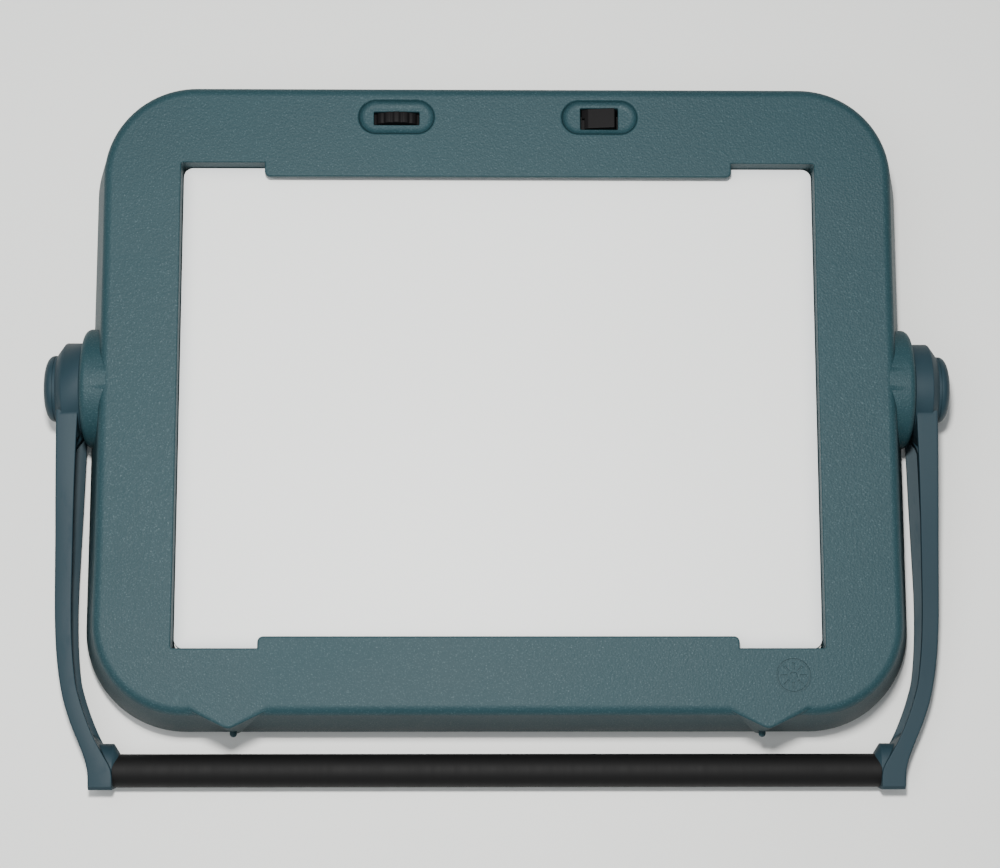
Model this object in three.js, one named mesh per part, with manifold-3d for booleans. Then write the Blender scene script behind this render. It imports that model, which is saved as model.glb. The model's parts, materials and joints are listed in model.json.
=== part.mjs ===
// Portable light box with a swinging carry handle.
//
// Millimetres, +Z up. The box lies on its back: its lit panel faces up, z = 0 is the table, and x = y = 0 is
// the middle of the whole object's footprint. The handle's bar lies in front of the box, towards -Y.

import * as THREE from 'three';
import { mergeVertices } from 'three/addons/utils/BufferGeometryUtils.js';
import Module from 'manifold-3d';

const wasm = await Module();
wasm.setup();

// ---- driving dimensions

const gap = 0.3; // between pieces that touch

// housing
const openWidth = 285; // lit opening along X, takes a letter-size sheet lying on its long side
const openDepth = 218.4; // lit opening along Y
const sideRail = 41.3; // opening to the housing's widest line
const topRail = 40.5;
const bottomRail = 34.1;
const bodyTop = 56; // height of the bezel face
const footHeight = 2; // the rubber feet hold the cover this far up
const partingHeight = 16; // where the front shell meets the rear cover
const wall = 2.5;
const edgeFillet = 5.5;
const wallDraft = 0.139; // how far the wall leans in for each mm of height
const undersideTuck = 5.5;
const cornerRadius = 46; // plan corner at the widest line
const cornerSteps = 6;

// lowered stretch of the side rails
const railDip = 1;
const dipFarStart = 86.3;
const dipFarEnd = 63.3;
const dipNearEnd = -71.6;
const dipNearStart = -93.6;

// lit panel and the lips above it
const panelDrop = 8.5; // bezel face to the panel's face
const panelThickness = 3;
const panelCorner = 3.6;
const lipHalf = 105;
const farLipReach = 6.4;
const nearLipReach = 5.2;
const lipThickness = 3;
const lipCorner = 2.5;
const rimDepth = 18; // the opening's rim, from the face down
const frameLedge = 6;
const frameHeight = 3.7;
const trayClearance = 3.9; // tray above the battery bay
const trayWall = 1.2;
const stripCount = 4;
const stripWidth = 12;
const stripThickness = 1.6;
const stripMargin = 16;
const ledRadius = 2.4;
const ledHeight = 1.4;
const ledCount = 6;

// V-shaped stand feet on the near wall, and their bumpers
const standSpacing = 117; // middle to each foot
const standHalf = 19.4;
const standReach = 0.7; // tip beyond the widest line
const standRoot = 8.9; // tip to where the V leaves the face
const bumperRadius = 1.6;
const bumperReach = 2.4;
const bumperHeight = 30;

// controls in the far rail
const controlSpacing = 46; // middle to each control
const controlInset = 19; // widest line of the far wall to the controls' centre line
const dishLength = 34;
const dishWidth = 15.5;
const dishDepth = 2.6;
const dishSlope = 1.5;
const dishFloor = 2.3;
const wheelRadius = 14;
const wheelWidth = 5.2;
const wheelLobes = 21;
const wheelLobeDepth = 0.5;
const wheelRise = 0.2; // crest above the face
const wheelSlotLength = 20.6;
const wheelClearance = 0.5;
const axleRadius = 2.5;
const rockerLength = 15.6;
const rockerWidth = 9.1;
const rockerHeight = 11;
const rockerTilt = 8; // degrees each side of level
const rockerClearance = 0.45;
const rockerRise = 0.6; // middle of the rocker above the dish floor
const boardDrop = 4.2; // board below the thumbwheel's lowest point
const dimmerDrop = 3.7; // dimmer body below the dished recess
const boardThickness = 1.6;
const boardHalf = 66;

// screws, feet, battery bay, power inlet
const screwShank = 1.2;
const screwHead = 3.4;
const screwHeadHeight = 1.6;
const screwLength = 24;
const postRadius = 4;
const cornerScrewInset = 24;
const footRadius = 9;
const footInsetX = 36;
const footInsetY = 34;
const footSeat = 1;
const bayWidth = 120;
const bayDepth = 70;
const bayWall = 3;
const doorThickness = 2.2;
const packHeight = 12;
const doorScrewInset = 6;
const doorScrewHead = 3;
const inletX = 100;
const inletHeight = 30;
const inletBore = 3.2;
const inletBarrel = 4.6;

// handle pivots
const pivotOffset = 7.5; // ahead of the housing's middle, towards +Y
const bossRadius = 27;
const bossProud = 2.4; // disc face beyond the widest line
const bossDepth = 12.2;
const bossRound = 3;
const ringRadius = 17;
const ringDepth = 7.4;
const grooveInner = 8.8;
const grooveOuter = 13.2;
const grooveDepth = 5.9;
const hubGap = 0.5;
const hubRadius = 20.7;
const hubWidth = 11.9;
const hubChamferIn = 3.6;
const hubChamferDown = 5;
const hubFloor = 3.3;
const pinRadius = 4;
const pinHead = 8;
const pinHeadWidth = 2.2;
const buttonRadius = 15;
const buttonProud = 6;
const buttonTravel = 3;
const buttonWall = 2.2;
const legRadius = 1.5;
const legOrbit = 11;
const legCount = 3;
const springRadius = 6;
const springWire = 0.6;
const springTurns = 2;

// handle arms and grip
const gripReach = 17; // bar centre beyond the widest line
const gripRadius = 7.5;
const gripWall = 2.2;
const barHeight = 9.9; // bar centre, with the handle lying on the table
const collarRadius = 10.2;
const collarWidth = 2.6;
const collarAhead = 1.9; // the collar sits a little up the arm
const collarFlat = 0.75; // its depth over its width
const armEndWidth = 11;
const endHalf = 9; // half the depth of the block at the bar
const endReach = 8; // the block's end past the bar's centre
const armBow = 14.5; // how far the arm's outer face comes in at the bar
const coreSocket = 4.4;
const channelDepth = 3.2;

// ---- derived values

const halfX = openWidth / 2 + sideRail;
const halfY = (openDepth + topRail + bottomRail) / 2;
const openMiddle = (bottomRail - topRail) / 2;
const openFar = openMiddle + openDepth / 2;
const openNear = openMiddle - openDepth / 2;
const filletFoot = bodyTop - edgeFillet;
const filletInset = (filletFoot - partingHeight) * wallDraft;
const panelTop = bodyTop - panelDrop;
const frameTop = panelTop - panelThickness - gap;
const trayTop = frameTop - frameHeight - gap;
const floorTop = footHeight + wall;
const bayTop = floorTop + gap + packHeight + 1.5;
const trayDepth = trayTop - bayTop - trayClearance;
const controlY = halfY - controlInset;
const dishBottom = bodyTop - dishDepth;
const wheelCentre = bodyTop + wheelRise - wheelRadius;
const boardHeight = wheelCentre - wheelRadius - boardDrop;
const bossFace = halfX + bossProud;
const pivotHeight = bodyTop - railDip - bossRadius; // the discs' crests run level with the dipped rails
const hubInner = bossFace + hubGap;
const hubOuter = hubInner + hubWidth;
const armRun = pivotOffset + halfY + gripReach;
const armDrop = pivotHeight - barHeight;
const armLength = Math.hypot(armRun, armDrop);
const handleDroop = Math.atan2(armDrop, armRun);
const armOuter = hubOuter - 1.2;
const armEndOuter = armOuter - armBow;
const armEndInner = armEndOuter - armEndWidth;
const gripHalf = armEndInner - gap;
const buttonOuter = hubOuter + buttonProud;
const nearReach = halfY + gripReach + endHalf;
const footprintShift = (nearReach - halfY) / 2;
const doorScrewX = bayWidth / 2 - doorScrewInset;

// ---- finishes

function finish(color, roughness, metalness = 0) {
  return () => new THREE.MeshStandardMaterial({ color, roughness, metalness });
}

const tealShell = finish(0x5a777d, 0.62);
const smoothTeal = finish(0x50626a, 0.42);
const darkShell = finish(0x4a5d62, 0.6);
const blackPlastic = finish(0x1d1c1e, 0.5);
const opalAcrylic = finish(0xdfe3e2, 0.25);
const whitePlastic = finish(0xe8e8e4, 0.5);
const steel = finish(0x9a9da0, 0.35, 0.9);
const boardGreen = finish(0x1f5a3a, 0.55);
const blackRubber = finish(0x202122, 0.85);
const packBlue = finish(0x2d4a7a, 0.5);

// ---- solids

// a closed three.js geometry as a solid that can be joined and cut
function solid(geometry) {
  const bare = geometry.clone();
  bare.deleteAttribute('normal');
  bare.deleteAttribute('uv');
  const merged = mergeVertices(bare, 1e-4);
  const index = merged.index.array;
  const triangles = [];
  for (let i = 0; i < index.length; i += 3) {
    const [a, b, c] = [index[i], index[i + 1], index[i + 2]];
    if (a !== b && b !== c && c !== a) triangles.push(a, b, c);
  }
  return new wasm.Manifold(new wasm.Mesh({
    numProp: 3,
    vertProperties: new Float32Array(merged.attributes.position.array),
    triVerts: new Uint32Array(triangles),
  }));
}

function geometryOf(body) {
  const mesh = body.getMesh();
  const geometry = new THREE.BufferGeometry();
  const positions = new Float32Array(mesh.numVert * 3);
  for (let i = 0; i < mesh.numVert; i += 1) {
    positions.set(mesh.vertProperties.subarray(i * mesh.numProp, i * mesh.numProp + 3), i * 3);
  }
  geometry.setAttribute('position', new THREE.BufferAttribute(positions, 3));
  geometry.setIndex([...mesh.triVerts]);
  geometry.computeVertexNormals();
  return geometry;
}

// the same piece for the other side of the box
function mirrored(geometry) {
  const copy = geometry.clone().scale(-1, 1, 1);
  const index = copy.index.array;
  for (let i = 0; i < index.length; i += 3) {
    [index[i + 1], index[i + 2]] = [index[i + 2], index[i + 1]];
  }
  copy.computeVertexNormals();
  return copy;
}

function joined(first, ...rest) {
  return rest.reduce((sum, next) => sum.add(next), first);
}

function cut(first, ...rest) {
  return rest.reduce((left, next) => left.subtract(next), first);
}

function block(x0, x1, y0, y1, z0, z1) {
  const geometry = new THREE.BoxGeometry(x1 - x0, y1 - y0, z1 - z0);
  return solid(geometry.translate((x0 + x1) / 2, (y0 + y1) / 2, (z0 + z1) / 2));
}

// a body through rings that have the same number of points; each end is closed from its middle
function loft(rings) {
  const points = rings.flat();
  const count = rings[0].length;
  const positions = points.flatMap((p) => [p.x, p.y, p.z]);
  const index = [];
  for (let r = 0; r + 1 < rings.length; r += 1) {
    for (let i = 0; i < count; i += 1) {
      const a = r * count + i;
      const b = r * count + ((i + 1) % count);
      index.push(a, b, b + count, a, b + count, a + count);
    }
  }
  for (const [r, turn] of [[0, true], [rings.length - 1, false]]) {
    const middle = new THREE.Vector3();
    rings[r].forEach((p) => middle.addScaledVector(p, 1 / count));
    const hub = positions.length / 3;
    positions.push(middle.x, middle.y, middle.z);
    for (let i = 0; i < count; i += 1) {
      const a = r * count + i;
      const b = r * count + ((i + 1) % count);
      index.push(...(turn ? [hub, b, a] : [hub, a, b]));
    }
  }
  const geometry = new THREE.BufferGeometry();
  geometry.setAttribute('position', new THREE.Float32BufferAttribute(positions, 3));
  geometry.setIndex(index);
  return solid(geometry);
}

// points of a rounded rectangle, anticlockwise seen from above
function roundedRing(hx, hy, radius, z, steps = cornerSteps, cy = 0) {
  const ring = [];
  for (let quarter = 0; quarter < 4; quarter += 1) {
    const sx = quarter === 0 || quarter === 3 ? 1 : -1;
    const sy = quarter < 2 ? 1 : -1;
    for (let i = 0; i <= steps; i += 1) {
      const angle = (quarter + i / steps) * Math.PI / 2;
      const x = sx * (hx - radius) + radius * Math.cos(angle);
      const y = cy + sy * (hy - radius) + radius * Math.sin(angle);
      ring.push(new THREE.Vector3(x, y, z));
    }
  }
  return ring;
}

function roundedSlab(hx, hy, radius, z0, z1, steps = 3, cy = 0) {
  return loft([roundedRing(hx, hy, radius, z0, steps, cy), roundedRing(hx, hy, radius, z1, steps, cy)]);
}

// a turned body: profile holds [radius, height] pairs that start and end on the axis, or close
function turned(profile, segments = 32) {
  const points = profile.map(([r, h]) => new THREE.Vector2(r, h));
  return new THREE.LatheGeometry(points, segments);
}

// turned bodies stand along +Y; these lay them along the other axes
function alongX(geometry, y = 0, z = 0) {
  return solid(geometry.rotateZ(-Math.PI / 2).translate(0, y, z));
}

function alongY(geometry, x = 0, z = 0) {
  return solid(geometry.translate(x, 0, z));
}

function alongZ(geometry, x = 0, y = 0) {
  return solid(geometry.rotateX(Math.PI / 2).translate(x, y, 0));
}

function rodProfile(radius, from, to) {
  return [[0, from], [radius, from], [radius, to], [0, to]];
}

function pipeProfile(inner, outer, from, to) {
  return [[inner, from], [outer, from], [outer, to], [inner, to], [inner, from]];
}

function prism(corners, depth) {
  const shape = new THREE.Shape(corners.map(([x, y]) => new THREE.Vector2(x, y)));
  return new THREE.ExtrudeGeometry(shape, { depth, bevelEnabled: false });
}

// ---- housing

function bodyRing(z, inset) {
  return roundedRing(halfX - inset, halfY - inset, cornerRadius - inset, z);
}

function outerBody() {
  const rings = [
    bodyRing(footHeight, undersideTuck),
    bodyRing(footHeight + 1.5, undersideTuck - 2.2),
    bodyRing(partingHeight, 0),
    bodyRing(filletFoot, filletInset),
  ];
  const steps = 3;
  for (let i = 1; i <= steps; i += 1) {
    const angle = (i / steps) * Math.PI / 2;
    const inset = filletInset + edgeFillet * (1 - Math.cos(angle));
    rings.push(bodyRing(filletFoot + edgeFillet * Math.sin(angle), inset));
  }
  return loft(rings);
}

function hollow() {
  return loft([
    bodyRing(floorTop, undersideTuck - 2.2 + wall),
    bodyRing(partingHeight, wall),
    bodyRing(filletFoot, filletInset + wall),
    bodyRing(bodyTop - wall, filletInset + edgeFillet),
  ]);
}

// the side rails dip between two shallow ramps
function railDips() {
  const profile = [
    [dipFarStart, bodyTop], [dipFarEnd, bodyTop - railDip], [dipNearEnd, bodyTop - railDip],
    [dipNearStart, bodyTop], [dipNearStart, bodyTop + 1], [dipFarStart, bodyTop + 1],
  ];
  const length = 2 * halfX;
  return solid(prism(profile, length).rotateX(Math.PI / 2).rotateZ(Math.PI / 2).translate(-halfX, 0, 0));
}

function pivotBoss(side) {
  const inner = bossFace - bossDepth;
  const profile = [[0, inner], [bossRadius, inner], [bossRadius, bossFace - bossRound]];
  for (const angle of [45, 90]) {
    const turn = THREE.MathUtils.degToRad(angle);
    const radius = bossRadius - bossRound * (1 - Math.cos(turn));
    profile.push([radius, bossFace - bossRound * (1 - Math.sin(turn))]);
  }
  profile.push([0, bossFace]);
  const body = turned(profile, 36);
  if (side < 0) body.rotateX(Math.PI);
  return alongX(body, pivotOffset, pivotHeight);
}

function pivotPocket(side) {
  const floor = bossFace - ringDepth - 2 * gap;
  const profile = [
    [0, bossFace - bossDepth - 1], [pinRadius + gap, bossFace - bossDepth - 1], [pinRadius + gap, floor],
    [ringRadius + gap, floor], [ringRadius + gap, bossFace + 1], [0, bossFace + 1],
  ];
  const body = turned(profile, 24);
  if (side < 0) body.rotateX(Math.PI);
  return alongX(body, pivotOffset, pivotHeight);
}

function shellBlank() {
  const shell = cut(outerBody(), hollow(), railDips());
  const cap = block(-halfX - 20, halfX + 20, -halfY - 1, halfY + 1, footHeight, bodyTop);
  const bosses = joined(pivotBoss(1), pivotBoss(-1)).intersect(cap);
  return cut(shell.add(bosses), pivotPocket(1), pivotPocket(-1));
}

function standFoot(x) {
  const tip = -halfY - standReach;
  const root = tip + standRoot;
  const corners = [
    [x - standHalf, root], [x - 1.6, tip + 0.35], [x, tip], [x + 1.6, tip + 0.35], [x + standHalf, root],
  ];
  const base = partingHeight + gap / 2;
  return solid(prism(corners, bodyTop - base).translate(0, 0, base));
}

function bumperHole(x) {
  const tip = -halfY - standReach;
  return alongY(turned(rodProfile(bumperRadius + gap, tip - 1, tip + 4), 10), x, bumperHeight);
}

function lip(farSide) {
  const edge = farSide ? openFar - farLipReach : openNear + nearLipReach;
  const back = farSide ? openFar + 1 : openNear - 1;
  const middle = (edge + back) / 2;
  const reach = Math.abs(back - edge) / 2;
  const plate = roundedSlab(lipHalf, reach + lipCorner, lipCorner, bodyTop - lipThickness, bodyTop, 4,
    middle + (farSide ? lipCorner : -lipCorner));
  const low = Math.min(edge, back);
  const high = Math.max(edge, back);
  return plate.intersect(block(-lipHalf, lipHalf, low, high, bodyTop - lipThickness, bodyTop));
}

function openingRim() {
  const [rimBottom, rimTop] = [bodyTop - rimDepth, bodyTop - wall - 0.5];
  return roundedSlab(openWidth / 2 + wall, openDepth / 2 + wall, 3, rimBottom, rimTop, 2, openMiddle);
}

function openingCut() {
  return roundedSlab(openWidth / 2, openDepth / 2, 1.2, bodyTop - rimDepth - 1, bodyTop + 1, 2, openMiddle);
}

function stadium(length, width, z, x) {
  const ring = roundedRing(length / 2, width / 2, width / 2, z, 4, controlY);
  ring.forEach((p) => { p.x += x; });
  return ring;
}

function controlPad(x) {
  const bottom = dishBottom - dishFloor;
  const skirt = 3;
  return loft([
    stadium(dishLength + skirt, dishWidth + skirt, bottom, x),
    stadium(dishLength + skirt, dishWidth + skirt, bodyTop - wall / 2, x),
  ]);
}

function controlDish(x) {
  return loft([
    stadium(dishLength - 2 * dishSlope, dishWidth - 2 * dishSlope, dishBottom, x),
    stadium(dishLength - 0.5 * dishSlope, dishWidth - 0.5 * dishSlope, dishBottom + 1.1, x),
    stadium(dishLength, dishWidth, bodyTop, x),
    stadium(dishLength, dishWidth, bodyTop + 1, x),
  ]);
}

// room for the thumbwheel under its slot
function wheelWell() {
  const half = wheelWidth / 2 + wheelClearance;
  const well = turned(rodProfile(wheelRadius + wheelClearance, controlY - half, controlY + half), 28);
  return alongY(well, -controlSpacing, wheelCentre);
}

function controlSlot(x, length, width) {
  const [near, far] = [controlY - width / 2, controlY + width / 2];
  return block(x - length / 2, x + length / 2, near, far, dishBottom - 6, bodyTop);
}

const screwPlaces = [
  [-halfX + cornerScrewInset, halfY - cornerScrewInset],
  [halfX - cornerScrewInset, halfY - cornerScrewInset],
  [-halfX + cornerScrewInset, -halfY + cornerScrewInset - 4],
  [halfX - cornerScrewInset, -halfY + cornerScrewInset - 4],
  [0, halfY - cornerScrewInset + 2],
  [0, -halfY + cornerScrewInset - 5],
];

function frontHousing() {
  const above = block(-halfX - 20, halfX + 20, -halfY - 20, halfY + 20, partingHeight + gap / 2, bodyTop + 5);
  let shell = shellBlank().intersect(above);
  shell = joined(shell, openingRim(), standFoot(standSpacing), standFoot(-standSpacing));
  shell = joined(shell, controlPad(controlSpacing), controlPad(-controlSpacing));
  for (const [x, y] of screwPlaces) {
    const post = turned(rodProfile(postRadius, floorTop + gap, bodyTop - wall / 2), 10);
    shell = shell.add(alongZ(post, x, y));
    const bore = turned(rodProfile(screwShank + gap, floorTop, floorTop + screwLength + 2), 8);
    shell = shell.subtract(alongZ(bore, x, y));
  }
  shell = cut(shell, openingCut(), bumperHole(standSpacing), bumperHole(-standSpacing));
  shell = joined(shell, lip(true), lip(false));
  shell = cut(shell, controlDish(controlSpacing), controlDish(-controlSpacing));
  const wheelSlotWidth = wheelWidth + 2 * wheelClearance;
  shell = cut(shell, controlSlot(-controlSpacing, wheelSlotLength, wheelSlotWidth), wheelWell());
  shell = cut(shell, controlSlot(controlSpacing, rockerLength + 2 * rockerClearance + 0.6,
    rockerWidth + 2 * rockerClearance));
  const inlet = turned(rodProfile(inletBarrel + gap, halfY - 8, halfY + 2), 16);
  return shell.subtract(alongY(inlet, inletX, inletHeight));
}

function rearCover() {
  const below = block(-halfX - 20, halfX + 20, -halfY - 20, halfY + 20, -1, partingHeight - gap / 2);
  let cover = shellBlank().intersect(below);
  const bay = cut(
    block(-bayWidth / 2 - 1, bayWidth / 2 + 1, -bayDepth / 2 - 1, bayDepth / 2 + 1, floorTop - 0.5, bayTop),
    block(-bayWidth / 2 + bayWall, bayWidth / 2 - bayWall, -bayDepth / 2 + bayWall, bayDepth / 2 - bayWall,
      floorTop - 1, bayTop + 1),
  );
  cover = cover.add(bay);
  cover = cover.add(alongZ(turned(rodProfile(postRadius, floorTop, bayTop), 10), doorScrewX, 0));
  for (const [x, y] of trayPosts()) {
    const post = turned(rodProfile(postRadius, floorTop - 0.5, trayTop - trayDepth - gap), 10);
    cover = cover.add(alongZ(post, x, y));
  }
  const bayOpening = block(-bayWidth / 2, bayWidth / 2, -bayDepth / 2, bayDepth / 2,
    footHeight - 1, floorTop);
  cover = cover.subtract(bayOpening);
  for (const [x, y] of screwPlaces) {
    const hole = turned([
      [0, footHeight - 1], [screwHead + gap, footHeight - 1], [screwHead + gap, footHeight + screwHeadHeight],
      [screwShank + gap, footHeight + screwHeadHeight], [screwShank + gap, floorTop + 1], [0, floorTop + 1],
    ], 12);
    cover = cover.subtract(alongZ(hole, x, y));
  }
  for (const [x, y] of footPlaces()) {
    const seat = turned(rodProfile(footRadius + gap, footHeight - 1, footHeight + footSeat), 16);
    cover = cover.subtract(alongZ(seat, x, y));
  }
  const doorBore = turned(rodProfile(screwShank + gap, floorTop - 1, floorTop + 9), 8);
  return cover.subtract(alongZ(doorBore, doorScrewX, 0));
}

function trayPosts() {
  const x = openWidth / 2 - 40;
  const y = openDepth / 2 - 40;
  return [[-x, -y], [x, -y], [-x, y], [x, y]];
}

function footPlaces() {
  const x = halfX - footInsetX;
  const y = halfY - footInsetY;
  return [[-x, -y], [x, -y], [-x, y], [x, y]];
}

function housingScrew() {
  const top = footHeight + screwHeadHeight;
  return solid(turned([
    [0, footHeight + 0.2], [screwHead - 0.6, footHeight + 0.2], [screwHead, footHeight + 0.7],
    [screwHead, top - gap], [screwShank, top - gap], [screwShank, floorTop + screwLength],
    [0, floorTop + screwLength + 1],
  ], 10).rotateX(Math.PI / 2));
}

function rubberFoot() {
  return solid(turned([
    [0, 0], [footRadius - 1, 0], [footRadius, 0.8], [footRadius, footHeight + footSeat - gap],
    [0, footHeight + footSeat - gap],
  ], 16).rotateX(Math.PI / 2));
}

function standBumper() {
  const tip = -halfY - standReach;
  return solid(turned([
    [0, tip - bumperReach], [bumperRadius * 0.7, tip - bumperReach + 0.4],
    [bumperRadius, tip - bumperReach + 1.2], [bumperRadius, tip + 4 - gap], [0, tip + 4 - gap],
  ], 10));
}

// ---- lit panel

function diffuserPanel() {
  const [halfWide, halfDeep] = [openWidth / 2 - gap, openDepth / 2 - gap];
  return roundedSlab(halfWide, halfDeep, panelCorner, panelTop - panelThickness, panelTop, 4, openMiddle);
}

function panelFrame() {
  const [halfWide, halfDeep] = [openWidth / 2 - gap, openDepth / 2 - gap];
  const outer = roundedSlab(halfWide, halfDeep, 2, frameTop - frameHeight, frameTop, 2, openMiddle);
  const inner = roundedSlab(halfWide - frameLedge, halfDeep - frameLedge, 2, frameTop - frameHeight - 1,
    frameTop + 1, 2, openMiddle);
  return outer.subtract(inner);
}

function reflectorTray() {
  const [halfWide, halfDeep] = [openWidth / 2 - gap, openDepth / 2 - gap];
  const outer = roundedSlab(halfWide, halfDeep, 2, trayTop - trayDepth, trayTop, 2, openMiddle);
  const inner = roundedSlab(halfWide - trayWall, halfDeep - trayWall, 1.5, trayTop - trayDepth + trayWall,
    trayTop + 1, 2, openMiddle);
  return outer.subtract(inner);
}

function ledStrip(index) {
  const y = openMiddle + openDepth * ((index + 0.5) / stripCount - 0.5);
  const base = trayTop - trayDepth + trayWall + gap;
  const half = openWidth / 2 - stripMargin;
  let strip = block(-half, half, y - stripWidth / 2, y + stripWidth / 2, base, base + stripThickness);
  for (let i = 0; i < ledCount; i += 1) {
    const x = half * 2 * ((i + 0.5) / ledCount - 0.5);
    const lens = turned([
      [0, base + 0.5], [ledRadius, base + 0.5], [ledRadius, base + stripThickness + ledHeight * 0.4],
      [ledRadius * 0.6, base + stripThickness + ledHeight], [0, base + stripThickness + ledHeight],
    ], 8);
    strip = strip.add(alongZ(lens, x, y));
  }
  return strip;
}

// ---- controls

function controlBoard() {
  const board = block(-boardHalf, boardHalf, openFar + wall + 2, halfY - wall - 4, boardHeight,
    boardHeight + boardThickness);
  const [x, y] = screwPlaces[4];
  const notch = turned(rodProfile(postRadius + 1, boardHeight - 1, boardHeight + 3), 12);
  return board.subtract(alongZ(notch, x, y));
}

// thumbwheel centred on its own axle, which lies along Y
function dimmerWheel() {
  const steps = wheelLobes * 4;
  const corners = [];
  for (let i = 0; i < steps; i += 1) {
    const turn = (i / steps) * Math.PI * 2;
    const radius = wheelRadius - wheelLobeDepth * (0.5 - 0.5 * Math.cos(turn * wheelLobes)) ** 2;
    corners.push([radius * Math.cos(turn), radius * Math.sin(turn)]);
  }
  const disc = solid(prism(corners, wheelWidth).rotateX(Math.PI / 2).translate(0, wheelWidth / 2, 0));
  return disc.subtract(alongY(turned(rodProfile(axleRadius + gap, -wheelWidth, wheelWidth), 12)));
}

function dimmerBody() {
  const x = -controlSpacing;
  const near = openFar + wall + 3;
  const far = controlY - wheelWidth / 2 - 0.5;
  const body = block(x - 8, x + 8, near, far, boardHeight + boardThickness + gap, dishBottom - dimmerDrop);
  const axle = turned(rodProfile(axleRadius, far - 1, controlY + wheelWidth / 2 - 1), 12);
  return body.add(alongY(axle, x, wheelCentre));
}

// rocker about its own pivot, level; its far and near ends stand slightly higher than its middle
function switchRocker() {
  const half = rockerLength / 2;
  const corners = [
    [-half, -3], [-half + 2.5, -6], [half - 2.5, -6], [half, -3], [half, rockerHeight - 6 + 1.1],
    [half - 1.2, rockerHeight - 6 + 1.2], [0, rockerHeight - 6], [-half + 1.2, rockerHeight - 6 + 1.2],
    [-half, rockerHeight - 6 + 1.1],
  ];
  return solid(prism(corners, rockerWidth).rotateX(Math.PI / 2).translate(0, rockerWidth / 2, 0));
}

function switchBody() {
  const x = controlSpacing;
  const top = dishBottom - dishFloor - gap;
  const bottom = boardHeight + boardThickness + gap;
  const wide = rockerLength / 2 + rockerClearance + 2.2;
  const deep = rockerWidth / 2 + rockerClearance + 1.6;
  const inside = rockerWidth / 2 + rockerClearance;
  const length = rockerLength / 2 + rockerClearance + 0.8;
  return cut(
    block(x - wide, x + wide, controlY - deep, controlY + deep, bottom, top),
    block(x - length, x + length, controlY - inside, controlY + inside, rockerPivotHeight() - 8.5, top + 1),
  );
}

function rockerPivotHeight() {
  return dishBottom + rockerRise - (rockerHeight - 6);
}

// ---- power

function batteryPack() {
  const low = -bayWidth / 2 + bayWall + 1;
  const high = doorScrewX - postRadius - 1;
  const y = bayDepth / 2 - bayWall - 1;
  const pack = roundedRing((high - low) / 2, y, 4, floorTop + gap, 3);
  pack.forEach((p) => { p.x += (low + high) / 2; });
  return loft([pack, pack.map((p) => p.clone().setZ(p.z + packHeight))]);
}

function batteryDoor() {
  const doorTop = footHeight + doorThickness;
  const plate = roundedSlab(bayWidth / 2 - gap, bayDepth / 2 - gap, 0.8, footHeight, doorTop, 1);
  const hole = turned([
    [0, footHeight - 1], [doorScrewHead + gap, footHeight - 1], [doorScrewHead + gap, footHeight + 1.2],
    [screwShank + gap, footHeight + 1.2], [screwShank + gap, floorTop + 1], [0, floorTop + 1],
  ], 12);
  return plate.subtract(alongZ(hole, doorScrewX, 0));
}

function doorScrew() {
  return solid(turned([
    [0, footHeight + 0.1], [doorScrewHead, footHeight + 0.1], [doorScrewHead, footHeight + 1.2 - gap],
    [screwShank, footHeight + 1.2 - gap], [screwShank, floorTop + 7], [0, floorTop + 8],
  ], 10).rotateX(Math.PI / 2));
}

function powerInlet() {
  const wallOuter = halfY - (inletHeight - partingHeight) * wallDraft;
  const back = wallOuter - wall - 1.5;
  const body = block(inletX - 6, inletX + 6, back - 12, back, inletHeight - 6, inletHeight + 6);
  const barrel = alongY(turned(rodProfile(inletBarrel, back - 1, wallOuter - gap), 16), inletX, inletHeight);
  const bore = alongY(turned(rodProfile(inletBore, back - 8, wallOuter + 1), 12), inletX, inletHeight);
  return body.add(barrel).subtract(bore);
}

// ---- pivots (right-hand side, about the pivot axis)

function detentRing() {
  const face = bossFace - gap;
  const back = face - ringDepth;
  const floor = face - grooveDepth;
  return solid(turned([
    [pinRadius + 0.4, back], [ringRadius, back], [ringRadius, face], [grooveOuter, face],
    [grooveOuter, floor], [grooveInner, floor], [grooveInner, face], [pinRadius + 0.4, face],
    [pinRadius + 0.4, back],
  ], 20).rotateZ(-Math.PI / 2));
}

function pivotPin() {
  const nutFace = bossFace - bossDepth - gap;
  const headFace = hubInner + hubFloor + gap;
  return solid(turned([
    [0, nutFace - 3.5], [pinRadius + 2.5, nutFace - 3.5], [pinRadius + 2.5, nutFace],
    [pinRadius, nutFace], [pinRadius, headFace], [pinHead, headFace],
    [pinHead, headFace + pinHeadWidth], [0, headFace + pinHeadWidth],
  ], 16).rotateZ(-Math.PI / 2));
}

function returnSpring() {
  const start = hubInner + hubFloor + 2 * gap + pinHeadWidth + springWire;
  const end = buttonOuter - buttonWall - buttonTravel - gap - springWire;
  class Coil extends THREE.Curve {
    getPoint(t, target = new THREE.Vector3()) {
      const turn = t * springTurns * Math.PI * 2;
      const radius = springRadius - springWire;
      return target.set(start + (end - start) * t, radius * Math.cos(turn), radius * Math.sin(turn));
    }
  }
  const section = new THREE.Shape();
  for (let i = 0; i < 5; i += 1) {
    const angle = (i / 5) * Math.PI * 2;
    const [x, y] = [springWire * Math.cos(angle), springWire * Math.sin(angle)];
    if (i === 0) section.moveTo(x, y);
    else section.lineTo(x, y);
  }
  const along = { steps: 30, extrudePath: new Coil(), bevelEnabled: false };
  return solid(new THREE.ExtrudeGeometry(section, along));
}

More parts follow.
